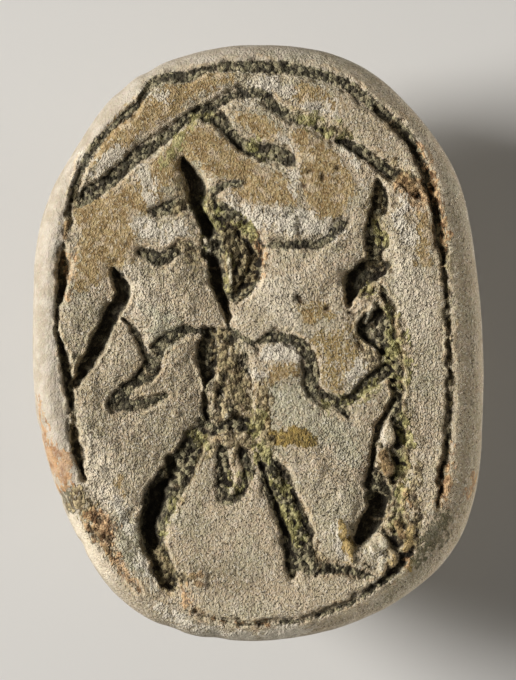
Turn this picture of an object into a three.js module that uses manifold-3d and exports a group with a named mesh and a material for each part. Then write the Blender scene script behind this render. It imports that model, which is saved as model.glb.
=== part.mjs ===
// Scarab amulet: a beetle carved from one piece of steatite, pierced lengthwise for a cord. Its flat
// face is engraved with a striding figure that holds a cobra, under a pair of drooping wings.
//
// Millimetres, +Z up. The amulet lies on its back: the engraved face is up, at Z = HEIGHT, the beetle's
// back is down and rests at Z = 0, and its head points along +Y. A height above the engraved face, going
// down into the beetle, is called a rise, so that Z = HEIGHT - rise.
import * as THREE from "three";
import { mergeVertices } from "three/addons/utils/BufferGeometryUtils.js";
import Module from "manifold-3d";

// Driving dimensions.
const LENGTH = 20;
const WIDTH = 15.14;
const HEIGHT = 8.6;

// The oval's outline: a superellipse whose squareness differs in each quarter.
const SQUARENESS = { headRight: 2.35, headLeft: 2.35, tailLeft: 2.3, tailRight: 2.8 };
// Flats worn into the outline, and swellings where the depth is negative: bearing and reach in degrees.
const WORN_FLATS = [
  { bearing: 18, reach: 28, depth: 0.12 },
  { bearing: 56, reach: 18, depth: 0.12 },
  { bearing: 104, reach: 14, depth: 0.06 },
  { bearing: 130, reach: 14, depth: 0.12 },
  { bearing: 153, reach: 20, depth: -0.12 },
  { bearing: 220, reach: 26, depth: 0.14 },
  { bearing: 245, reach: 20, depth: -0.12 },
  { bearing: 293, reach: 26, depth: 0.3 },
  { bearing: 322, reach: 24, depth: -0.14 },
];
const OUTLINE_SEGMENTS = 80;

// The base plate: its rounded edge, widest at one bearing and narrowest opposite, and below that its
// side as [inset from the outline, rise].
const EDGE_WIDTH = { widest: 1.3, narrowest: 0.78, widestAt: -15 };
const EDGE_DROP = 1.05;
const EDGE_STEPS = 4;
const PLATE_SIDE = [[0.6, 2.25], [0.14, 2.0]];

// The beetle, as mounds on the plate: centre along Y, half sizes, rise of the root and of the crest.
const MOUNDS = {
  flanks: { y: 0, half: [6.5, 9.2], root: 1.5, crest: 5.1, plan: 2.35, swell: 5 },
  wing_cases: { y: -1.3, half: [6.0, 7.4], root: 2.0, crest: HEIGHT + 0.2, plan: 2.2, swell: 2.4 },
  thorax: { y: 3.4, half: [5.7, 3.7], root: 2.0, crest: 7.9, plan: 2.4, swell: 2.4 },
  head: { y: 6.7, half: [2.9, 2.1], root: 2.0, crest: 6.5, plan: 2.2, swell: 2.2 },
  face_plate: { y: 7.9, half: [2.3, 1.5], root: 3.9, crest: 5.5, plan: 2.2, swell: 2, teeth: 12 },
};
const MOUND_SEGMENTS = 36;
const MOUND_STEPS = 7;
const MOUND_TOP = 0.35; // how far its topmost ring stands from the very crest, in steps
const TOOTH_DEPTH = 0.05; // of the face plate's plan

// Legs of the right side, as points [x, y, rise] along their middle; the left side mirrors them.
const LEG_RADIUS = 0.6;
const LEG_END_RADIUS = 0.33;
const LEG_STEPS = 8;
const LEG_SIDES = 8;
const LEGS = {
  fore: [[6.2, 2.7, 4.7], [5.9, 4.9, 3.9], [4.6, 7.1, 3.4], [2.5, 8.7, 3.1]],
  middle: [[6.2, 2.1, 4.5], [6.5, -0.2, 4.0], [6.5, -2.8, 3.4], [6.1, -4.5, 3.0]],
  hind: [[6.1, -1.0, 4.7], [6.0, -4.0, 4.1], [4.8, -6.8, 3.5], [2.5, -8.6, 3.0]],
};
const EYE = { x: 2.35, y: 6.9, rise: 4.9, radius: 0.75, sides: 10, steps: 8 };

// The cord's hole, drilled through from head to tail between the plate and the back.
const HOLE_RADIUS = 0.85;
const HOLE_RISE = 3.25;
const HOLE_SIDES = 16;

// Lines cut into the beetle's back: points [x, y, width], each on the back's surface.
const BACK_LINE_DEPTH = 0.26;
const BACK_LINES = {
  wing_seam: [[0, 2.9, 0.3], [0, -0.5, 0.34], [0, -4, 0.34], [0, -7.3, 0.2]],
  thorax_line: [[-5.3, 3.7, 0.25], [-3, 2.95, 0.4], [0, 2.75, 0.42], [3, 2.95, 0.4], [5.3, 3.7, 0.25]],
  left_shoulder_notch: [[-4.3, 3.2, 0.4], [-3.9, 2.2, 0.5], [-3.5, 1.3, 0.15]],
  right_shoulder_notch: [[4.3, 3.2, 0.4], [3.9, 2.2, 0.5], [3.5, 1.3, 0.15]],
};

// Strokes engraved in the flat face: depth, and points [x, y, width] along the stroke's middle.
const STROKES = {
  border_head: [0.2, [[-6.2, 4.7, 0.25], [-5.75, 6.1, 0.32], [-4.85, 7.25, 0.22], [-3.95, 8.1, 0.25],
    [-3.3, 8.8, 0.35], [-1.9, 9.1, 0.35], [0, 9.22, 0.45], [1.6, 9.1, 0.42], [3.3, 8.35, 0.4],
    [4.7, 7.25, 0.3], [5.6, 5.7, 0.28], [6.1, 3.9, 0.32], [6.25, 2.6, 0.2]]],
  border_right: [0.16, [[6.22, 2.7, 0.2], [6.35, 0.9, 0.15], [6.41, -1.4, 0.15], [6.33, -3.2, 0.18],
    [6.12, -4.5, 0.28], [5.95, -5.8, 0.12]]],
  border_tail: [0.13, [[5.1, -6.9, 0.3], [4.1, -7.95, 0.3], [2.9, -8.78, 0.2], [1.2, -9.25, 0.15],
    [0, -9.36, 0.16], [-1.2, -9.27, 0.14], [-2.2, -8.95, 0.1]]],
  border_left: [0.22, [[-6.15, 4.9, 0.18], [-6.4, 4.0, 0.22], [-6.52, 3.2, 0.2], [-6.55, 2.2, 0.3],
    [-6.68, 1.0, 0.16], [-6.6, -0.2, 0.16], [-6.32, -1.4, 0.28], [-6.2, -2.5, 0.22],
    [-6.0, -3.8, 0.18], [-5.78, -4.5, 0.1]]],
  wing_left: [0.22, [[-5.95, 4.8, 0.5], [-4.6, 5.75, 0.45], [-3.1, 6.85, 0.4], [-1.7, 7.8, 0.32],
    [-0.4, 8.4, 0.25]]],
  wing_right: [0.2, [[-0.5, 8.3, 0.35], [0.5, 7.95, 0.35], [1.8, 7.3, 0.45], [3.0, 6.75, 0.4],
    [4.2, 5.85, 0.25], [5.4, 4.9, 0.15]]],
  crown: [0.21, [[-1.7, 7.6, 0.4], [-1.05, 7.15, 0.35], [-0.4, 6.45, 0.35], [0.3, 6.3, 0.4],
    [1.1, 6.0, 0.3]]],
  profile: [0.42, [[-2.55, 6.0, 0.2], [-2.2, 5.45, 0.5], [-2.0, 4.75, 0.34], [-1.72, 4.0, 0.46],
    [-1.52, 3.2, 0.46], [-1.42, 2.3, 0.38], [-1.2, 1.45, 0.26], [-1.06, 0.95, 0.12]]],
  left_shoulder: [0.15, [[-2.1, 4.65, 0.3], [-2.8, 4.5, 0.35], [-3.45, 4.35, 0.25]]],
  right_shoulder: [0.12, [[-1.8, 4.85, 0.35], [-1.2, 5.2, 0.35], [-0.55, 5.3, 0.25]]],
  torso: [0.26, [[-1.55, 4.5, 0.5], [-1.05, 3.85, 1.3], [-0.72, 3.1, 1.65], [-0.65, 2.3, 1.35],
    [-0.85, 1.6, 0.5]]],
  left_sleeve: [0.14, [[-3.95, 3.0, 0.12], [-3.4, 2.85, 0.32], [-2.75, 3.05, 0.15]]],
  armpit: [0.1, [[-2.5, 3.1, 0.4], [-1.9, 2.95, 0.4]]],
  staff: [0.32, [[-4.78, 2.45, 0.12], [-4.6, 1.7, 0.48], [-5.1, 0.6, 0.5], [-5.6, -0.4, 0.5],
    [-6.1, -1.3, 0.3]]],
  staff_brace: [0.18, [[-4.5, 0.8, 0.12], [-4.05, 0.3, 0.22], [-3.6, -0.8, 0.22]]],
  fore_arm: [0.15, [[-1.1, 0.3, 0.5], [-2.2, 0.45, 0.25], [-3.1, 0.1, 0.38], [-3.6, -0.8, 0.45],
    [-4.75, -1.95, 0.45]]],
  open_hand: [0.12, [[-4.8, -2.0, 0.35], [-4.0, -2.05, 0.25], [-3.05, -1.8, 0.12]]],
  kilt_back: [0.3, [[-1.6, 0.3, 0.4], [-1.65, -0.6, 0.6], [-1.75, -1.5, 0.24], [-1.72, -2.5, 0.16]]],
  kilt_fold: [0.11, [[-1.1, -1.0, 0.25], [-1.2, -1.6, 0.22], [-1.3, -2.2, 0.2]]],
  kilt_pleat: [0.09, [[-0.35, -0.35, 0.15], [-0.5, -0.8, 0.3], [-0.7, -1.9, 0.2]]],
  belt: [0.1, [[-0.95, 0.35, 0.3], [-0.4, 0.12, 0.2], [0, -0.3, 0.1]]],
  hem: [0.18, [[-1.9, -2.75, 0.3], [-1.1, -2.8, 0.32], [-0.25, -2.8, 0.36]]],
  raised_arm: [0.2, [[0.05, 0.1, 0.2], [0.8, 0.2, 0.38], [1.6, -0.35, 0.4], [1.85, -1.2, 0.5],
    [2.9, -2.1, 0.4]]],
  raised_hand: [0.2, [[2.7, -1.95, 0.35], [3.4, -1.6, 0.35], [4.2, -0.95, 0.32]]],
  rear_thigh: [0.3, [[-1.5, -2.85, 0.45], [-2.3, -3.5, 0.7], [-3.1, -4.8, 0.85]]],
  rear_shin: [0.45, [[-3.1, -4.7, 0.75], [-3.45, -5.5, 0.85], [-3.6, -6.3, 0.7], [-3.25, -7.2, 0.72],
    [-2.95, -8.1, 0.6]]],
  heel: [0.1, [[-2.3, -7.85, 0.3], [-1.95, -7.85, 0.45], [-1.6, -8.0, 0.15]]],
  sash: [0.12, [[-1.2, -3.5, 0.3], [-1.15, -4.5, 0.38], [-1.0, -5.2, 0.25]]],
  sash_edge: [0.1, [[-1.0, -5.2, 0.2], [-0.55, -4.9, 0.2], [-0.35, -3.9, 0.3]]],
  front_leg: [0.17, [[0.35, -4.1, 0.6], [0.85, -5.3, 0.85], [1.25, -6.3, 0.85], [1.6, -7.3, 0.5]]],
  front_leg_edge: [0.25, [[0.1, -4.0, 0.15], [0.6, -5.4, 0.22], [0.95, -6.6, 0.25], [1.15, -7.6, 0.3]]],
  foot: [0.16, [[1.3, -7.4, 0.35], [2.2, -7.5, 0.42], [3.8, -7.8, 0.2]]],
  rod: [0.12, [[0.15, 3.2, 0.15], [1.2, 3.28, 0.3], [2.1, 3.33, 0.3], [2.9, 4.0, 0.28]]],
  cobra_crest: [0.25, [[3.85, 5.35, 0.2], [4.0, 4.8, 0.55], [3.85, 4.2, 0.42], [3.9, 3.6, 0.65],
    [3.78, 2.9, 0.4]]],
  cobra_head: [0.35, [[4.2, 2.5, 0.3], [3.5, 2.3, 0.65], [3.15, 1.8, 0.5], [3.0, 1.2, 0.15]]],
  cobra_neck: [0.19, [[4.1, 1.8, 0.2], [4.35, 1.1, 0.28], [4.3, 0.2, 0.5], [4.55, -0.9, 0.5]]],
  cobra_hood: [0.28, [[4.0, 0.95, 0.25], [3.6, 0.45, 0.5], [4.15, -0.15, 0.3]]],
  cobra_body: [0.2, [[4.5, -1.05, 0.32], [4.62, -2.1, 0.34], [4.68, -3.3, 0.35], [4.55, -4.5, 0.32]]],
  cobra_belly: [0.22, [[4.5, -2.2, 0.22], [4.0, -3.1, 0.22], [3.8, -4.2, 0.24], [3.62, -4.9, 0.28]]],
  cobra_coil: [0.38, [[3.9, -4.7, 0.45], [4.0, -5.4, 0.65], [3.65, -6.0, 0.65], [3.3, -6.7, 0.3]]],
  cobra_tail: [0.13, [[4.5, -4.9, 0.4], [4.65, -5.8, 0.42], [4.75, -6.6, 0.45], [4.6, -7.4, 0.3]]],
};
const STEPS_PER_POINT = 1.6;
const CUTTER_LIFT = 0.25; // how far a cutter stands clear of the surface that it cuts
const END_DEPTH_SHARE = 0.35; // of a groove's depth, at its two ends
const FLOOR_SHARE = 0.5; // a groove's floor, as a share of its width at the surface
const WALL_SHARE = 0.78; // the depth where its wall meets the rounded floor

const wasm = await Module();
wasm.setup();

// Radius of the oval at a bearing, counted from +X towards +Y.
function outlineRadius(bearing) {
  const across = Math.cos(bearing);
  const along = Math.sin(bearing);
  const quarter = (along >= 0 ? "head" : "tail") + (across >= 0 ? "Right" : "Left");
  const n = SQUARENESS[quarter];
  const smooth =
    (Math.abs(across / (WIDTH / 2)) ** n + Math.abs(along / (LENGTH / 2)) ** n) ** (-1 / n);
  return WORN_FLATS.reduce((radius, flat) => {
    const away = THREE.MathUtils.euclideanModulo(
      THREE.MathUtils.radToDeg(bearing) - flat.bearing + 180, 360) - 180;
    if (Math.abs(away) >= flat.reach) return radius;
    return radius - (flat.depth * (1 + Math.cos((Math.PI * away) / flat.reach))) / 2;
  }, smooth);
}

// A closed surface through rings of equal point counts, stacked along their common normal, with a flat
// cap at each end.
function ringStack(rings) {
  const count = rings[0].length;
  const points = rings.flat();
  const middles = [rings[0], rings.at(-1)].map((ring) =>
    ring.reduce((sum, p) => sum.add(p), new THREE.Vector3()).divideScalar(count));
  const index = [];
  const lastRing = (rings.length - 1) * count;
  for (let i = 0; i < count; i++) {
    const next = (i + 1) % count;
    for (let base = 0; base < lastRing; base += count) {
      const above = base + count;
      index.push(base + i, base + next, above + next, base + i, above + next, above + i);
    }
    index.push(points.length, next, i);
    index.push(points.length + 1, lastRing + i, lastRing + next);
  }
  return new THREE.BufferGeometry().setFromPoints([...points, ...middles]).setIndex(index);
}

// How far the rounded edge reaches in from the outline.
function edgeWidth(bearing) {
  const { widest, narrowest, widestAt } = EDGE_WIDTH;
  const towardsWidest = (1 + Math.cos(bearing - THREE.MathUtils.degToRad(widestAt))) / 2;
  return THREE.MathUtils.lerp(narrowest, widest, towardsWidest);
}

// A ring of the oval at a rise, set in from the outline by an inset and by a share of the edge's width.
function ovalRing(rise, inset, edgeShare = 0) {
  return Array.from({ length: OUTLINE_SEGMENTS }, (_, i) => {
    const bearing = (2 * Math.PI * i) / OUTLINE_SEGMENTS;
    const radius = outlineRadius(bearing) - inset - edgeShare * edgeWidth(bearing);
    return new THREE.Vector3(radius * Math.cos(bearing), radius * Math.sin(bearing), HEIGHT - rise);
  });
}

// The base plate, from its undercut foot to the flat engraved face, with a quarter-round edge.
function basePlate() {
  const edge = Array.from({ length: EDGE_STEPS + 1 }, (_, i) => {
    const turn = ((Math.PI / 2) * i) / EDGE_STEPS;
    return ovalRing(EDGE_DROP * (1 - Math.sin(turn)), 0, 1 - Math.cos(turn));
  });
  return ringStack([...PLATE_SIDE.map(([inset, rise]) => ovalRing(rise, inset)), ...edge]);
}

// A mound of the beetle, from its crest up to its root inside the plate.
function moundGeometry({ y, half, root, crest, plan, swell, teeth = 0 }) {
  const rings = Array.from({ length: MOUND_STEPS }, (_, step) => {
    const turn = (Math.PI / 2) * (1 - (step + MOUND_TOP) / (MOUND_STEPS - 1 + MOUND_TOP));
    const spread = Math.cos(turn) ** (2 / swell);
    const rise = root + (crest - root) * Math.sin(turn) ** (2 / swell);
    return Array.from({ length: MOUND_SEGMENTS }, (_, i) => {
      const bearing = (2 * Math.PI * i) / MOUND_SEGMENTS;
      const [across, along] = [Math.cos(bearing), Math.sin(bearing)];
      const square = (Math.abs(across) ** plan + Math.abs(along) ** plan) ** (-1 / plan);
      const reach = spread * square * (1 + (teeth ? TOOTH_DEPTH * Math.cos(teeth * bearing) : 0));
      return new THREE.Vector3(
        half[0] * reach * across, y + half[1] * reach * along, HEIGHT - rise);
    });
  });
  return ringStack(rings);
}

// The rise of the beetle's back over a point of the plan.
function backRise(x, y) {
  const rises = Object.values(MOUNDS).map(({ y: middle, half, root, crest, plan, swell }) => {
    const out = (Math.abs(x / half[0]) ** plan + Math.abs((y - middle) / half[1]) ** plan) ** (1 / plan);
    return out >= 1 ? root : root + (crest - root) * (1 - out ** swell) ** (1 / swell);
  });
  return Math.min(Math.max(...rises), HEIGHT);
}

// A point of a surface over the plan, and the way out of the stone there.
function onBack(x, y) {
  const step = 0.05;
  const outward = new THREE.Vector3(
    (backRise(x - step, y) - backRise(x + step, y)) / (2 * step),
    (backRise(x, y - step) - backRise(x, y + step)) / (2 * step), -1).normalize();
  return { point: new THREE.Vector3(x, y, HEIGHT - backRise(x, y)), outward };
}

function onFace(x, y) {
  return { point: new THREE.Vector3(x, y, HEIGHT), outward: new THREE.Vector3(0, 0, 1) };
}

// A leg: a round bar along a curve, thinner at both ends.
function legGeometry(points, side) {
  const curve = new THREE.CatmullRomCurve3(
    points.map(([x, y, rise]) => new THREE.Vector3(side * x, y, HEIGHT - rise)));
  const rings = Array.from({ length: LEG_STEPS + 1 }, (_, step) => {
    const middle = curve.getPoint(step / LEG_STEPS);
    const along = curve.getTangent(step / LEG_STEPS);
    const across = new THREE.Vector3().crossVectors(new THREE.Vector3(0, 0, 1), along).normalize();
    const up = new THREE.Vector3().crossVectors(along, across);
    const fullness = Math.sqrt(Math.sin((Math.PI * step) / LEG_STEPS));
    const radius = THREE.MathUtils.lerp(LEG_END_RADIUS, LEG_RADIUS, fullness);
    return Array.from({ length: LEG_SIDES }, (_, i) => {
      const turn = (2 * Math.PI * i) / LEG_SIDES;
      return middle.clone()
        .addScaledVector(across, radius * Math.cos(turn))
        .addScaledVector(up, radius * Math.sin(turn));
    });
  });
  return ringStack(rings);
}

// A cutter for one groove along points [x, y, width] of a surface: a five-sided section, wide where it
// leaves the stone and round-floored at its depth, shallower at both ends.
function grooveCutter(points, depth, surface) {
  const curve = new THREE.CatmullRomCurve3(
    points.map(([x, y, width]) => new THREE.Vector3(x, y, width)), false, "centripetal");
  const steps = Math.round((points.length - 1) * STEPS_PER_POINT) + 1;
  const rings = Array.from({ length: steps + 1 }, (_, step) => {
    const { x, y, z: width } = curve.getPoint(step / steps);
    const along = curve.getTangent(step / steps).setZ(0);
    const { point, outward } = surface(x, y);
    const across = new THREE.Vector3().crossVectors(along, outward).normalize();
    const deep = depth * (step === 0 || step === steps ? END_DEPTH_SHARE : 1);
    const flare = (width * (1 - FLOOR_SHARE) * CUTTER_LIFT) / (2 * WALL_SHARE * deep);
    const mouth = width / 2 + Math.min(flare, width);
    const floor = (width / 2) * FLOOR_SHARE;
    const section = [
      [-mouth, CUTTER_LIFT], [-floor, -WALL_SHARE * deep], [0, -deep],
      [floor, -WALL_SHARE * deep], [mouth, CUTTER_LIFT],
    ];
    return section.map(([aside, up]) =>
      point.clone().addScaledVector(across, aside).addScaledVector(outward, up));
  });
  return ringStack(rings.reverse());
}

// A closed geometry as a solid for cutting and joining.
function solidOf(geometry) {
  geometry.deleteAttribute("normal");
  geometry.deleteAttribute("uv");
  const merged = mergeVertices(geometry);
  return new wasm.Manifold(new wasm.Mesh({
    numProp: 3,
    vertProperties: merged.getAttribute("position").array,
    triVerts: new Uint32Array(merged.index.array),
  }));
}

// The cut and joined solid as a geometry for a mesh.
function geometryOf(solid) {
  const mesh = solid.getMesh();
  return new THREE.BufferGeometry()
    .setAttribute("position", new THREE.BufferAttribute(mesh.vertProperties, mesh.numProp))
    .setIndex(new THREE.BufferAttribute(mesh.triVerts, 1));
}

function join(geometries) {
  return geometries.map(solidOf).reduce((whole, piece) => whole.add(piece));
}

function eyeGeometry(side) {
  return new THREE.SphereGeometry(EYE.radius, EYE.sides, EYE.steps)
    .translate(side * EYE.x, EYE.y, HEIGHT - EYE.rise);
}

function cordHole() {
  return new THREE.CylinderGeometry(HOLE_RADIUS, HOLE_RADIUS, 2 * LENGTH, HOLE_SIDES)
    .translate(0, 0, HEIGHT - HOLE_RISE);
}

// All that would reach below the flat that the back rests on.
function belowRest() {
  return new THREE.BoxGeometry(LENGTH, LENGTH, HEIGHT).translate(0, 0, -HEIGHT / 2);
}

function grooves() {
  return [
    ...Object.values(STROKES).map(([depth, points]) => grooveCutter(points, depth, onFace)),
    ...Object.values(BACK_LINES).map((points) => grooveCutter(points, BACK_LINE_DEPTH, onBack)),
  ];
}

function scarab() {
  const beetle = join([
    basePlate(),
    ...Object.values(MOUNDS).map(moundGeometry),
    ...Object.values(LEGS).flatMap((points) => [legGeometry(points, 1), legGeometry(points, -1)]),
    eyeGeometry(1),
    eyeGeometry(-1),
  ]);
  const cuts = join([cordHole(), belowRest(), ...grooves()]);
  const stone = new THREE.MeshStandardMaterial({ color: 0xcfc6b2, roughness: 0.85, metalness: 0 });
  const mesh = new THREE.Mesh(geometryOf(beetle.subtract(cuts)), stone);
  mesh.name = "scarab";
  return mesh;
}

const amulet = new THREE.Group();
amulet.add(scarab());

export default amulet;
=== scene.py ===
"""Steatite scarab amulet, lying on its carved back with the engraved face up.

Everything is shaped in millimetres, in the frame's own axes: +Z out of the engraved face, +Y towards the
beetle's head. A rise is how far a point lies from the engraved face, counted down into the beetle. The mesh
is scaled to metres when it is made.
"""

import itertools

import bpy
import numpy as np
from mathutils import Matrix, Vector


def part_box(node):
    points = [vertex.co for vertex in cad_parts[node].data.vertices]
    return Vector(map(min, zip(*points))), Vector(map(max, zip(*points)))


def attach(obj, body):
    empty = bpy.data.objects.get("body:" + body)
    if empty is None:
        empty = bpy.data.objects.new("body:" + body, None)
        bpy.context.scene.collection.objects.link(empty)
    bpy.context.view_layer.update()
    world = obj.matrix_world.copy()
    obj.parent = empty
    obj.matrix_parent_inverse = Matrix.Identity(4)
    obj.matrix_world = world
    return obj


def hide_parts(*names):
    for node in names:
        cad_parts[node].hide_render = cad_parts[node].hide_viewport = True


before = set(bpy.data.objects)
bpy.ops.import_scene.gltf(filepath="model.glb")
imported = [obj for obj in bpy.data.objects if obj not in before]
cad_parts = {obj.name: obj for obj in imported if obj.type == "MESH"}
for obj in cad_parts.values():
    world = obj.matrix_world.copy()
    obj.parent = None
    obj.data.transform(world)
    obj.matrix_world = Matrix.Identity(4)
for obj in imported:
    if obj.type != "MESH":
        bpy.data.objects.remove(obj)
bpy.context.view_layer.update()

METRES = 0.001  # in a millimetre
LOW, HIGH = (np.array(corner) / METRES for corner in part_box("scarab"))
HEIGHT = HIGH[2] - LOW[2]

# ---------------------------------------------------------------- the oval and its rounded edge

# The oval before its flats were worn, and its squareness in each quarter.
WIDTH_WHOLE, LENGTH_WHOLE = 15.14, 20.0
SQUARENESS = {"head right": 2.35, "head left": 2.35, "tail left": 2.3, "tail right": 2.8}
# Flats worn into the outline, and swellings where the depth is negative: bearing, reach, depth.
WORN_FLATS = (
    (18, 28, 0.12), (56, 18, 0.12), (104, 14, 0.06), (130, 14, 0.12), (153, 20, -0.12),
    (220, 26, 0.14), (245, 20, -0.12), (293, 26, 0.30), (322, 24, -0.14),
)
# Small chips out of the edge: bearing, reach, depth.
EDGE_CHIPS = (
    (253, 3.5, 0.05), (262, 3, 0.05), (229, 2.5, 0.05), (218, 2, 0.04), (118, 4, 0.05), (112, 3, 0.05),
    (202, 3, 0.04),
)
# The rounded edge: how wide at its widest and at its narrowest, where it is widest, how far it drops.
EDGE_WIDTH = (1.3, 0.78)
WIDEST_AT = np.radians(-15)
EDGE_DROP = 1.05
# The part of the rim that is worn smoothest, the cosines of the bearing from it between which that starts
# and is whole, and how smooth the rim is opposite it.
SMOOTHEST_AT = np.radians(160)
SMOOTH_SPREAD = (-0.1, 0.7)
LEAST_SMOOTH = 0.3
RIM_EDGE = (-0.1, 0.1)  # where the rim ends, out from the border line and in from it
PLATE_THICKNESS = 2.25
# The plate's side below the rounded edge: how far in from the outline, and the rise.
PLATE_SIDE = (
    (0.0, 1.25), (0.01, 1.45), (0.03, 1.65), (0.08, 1.83), (0.17, 1.98), (0.3, 2.1), (0.46, 2.19),
    (0.64, 2.24), (0.85, 2.26),
)
# The rises between which the marks of the face fade out on the rounded edge.
FACE_FADE = (0.9, 1.3)

# Rings of mesh points: over the face with its edge, in its edge alone, and over the beetle's back.
FACE_RINGS = 152
EDGE_RINGS = 22
BACK_RINGS = FACE_RINGS // 2

# ---------------------------------------------------------------- the engraving and what lies on it
# Every run is a list of points (x, y, width) along the middle of a stroke or a patch.

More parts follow.
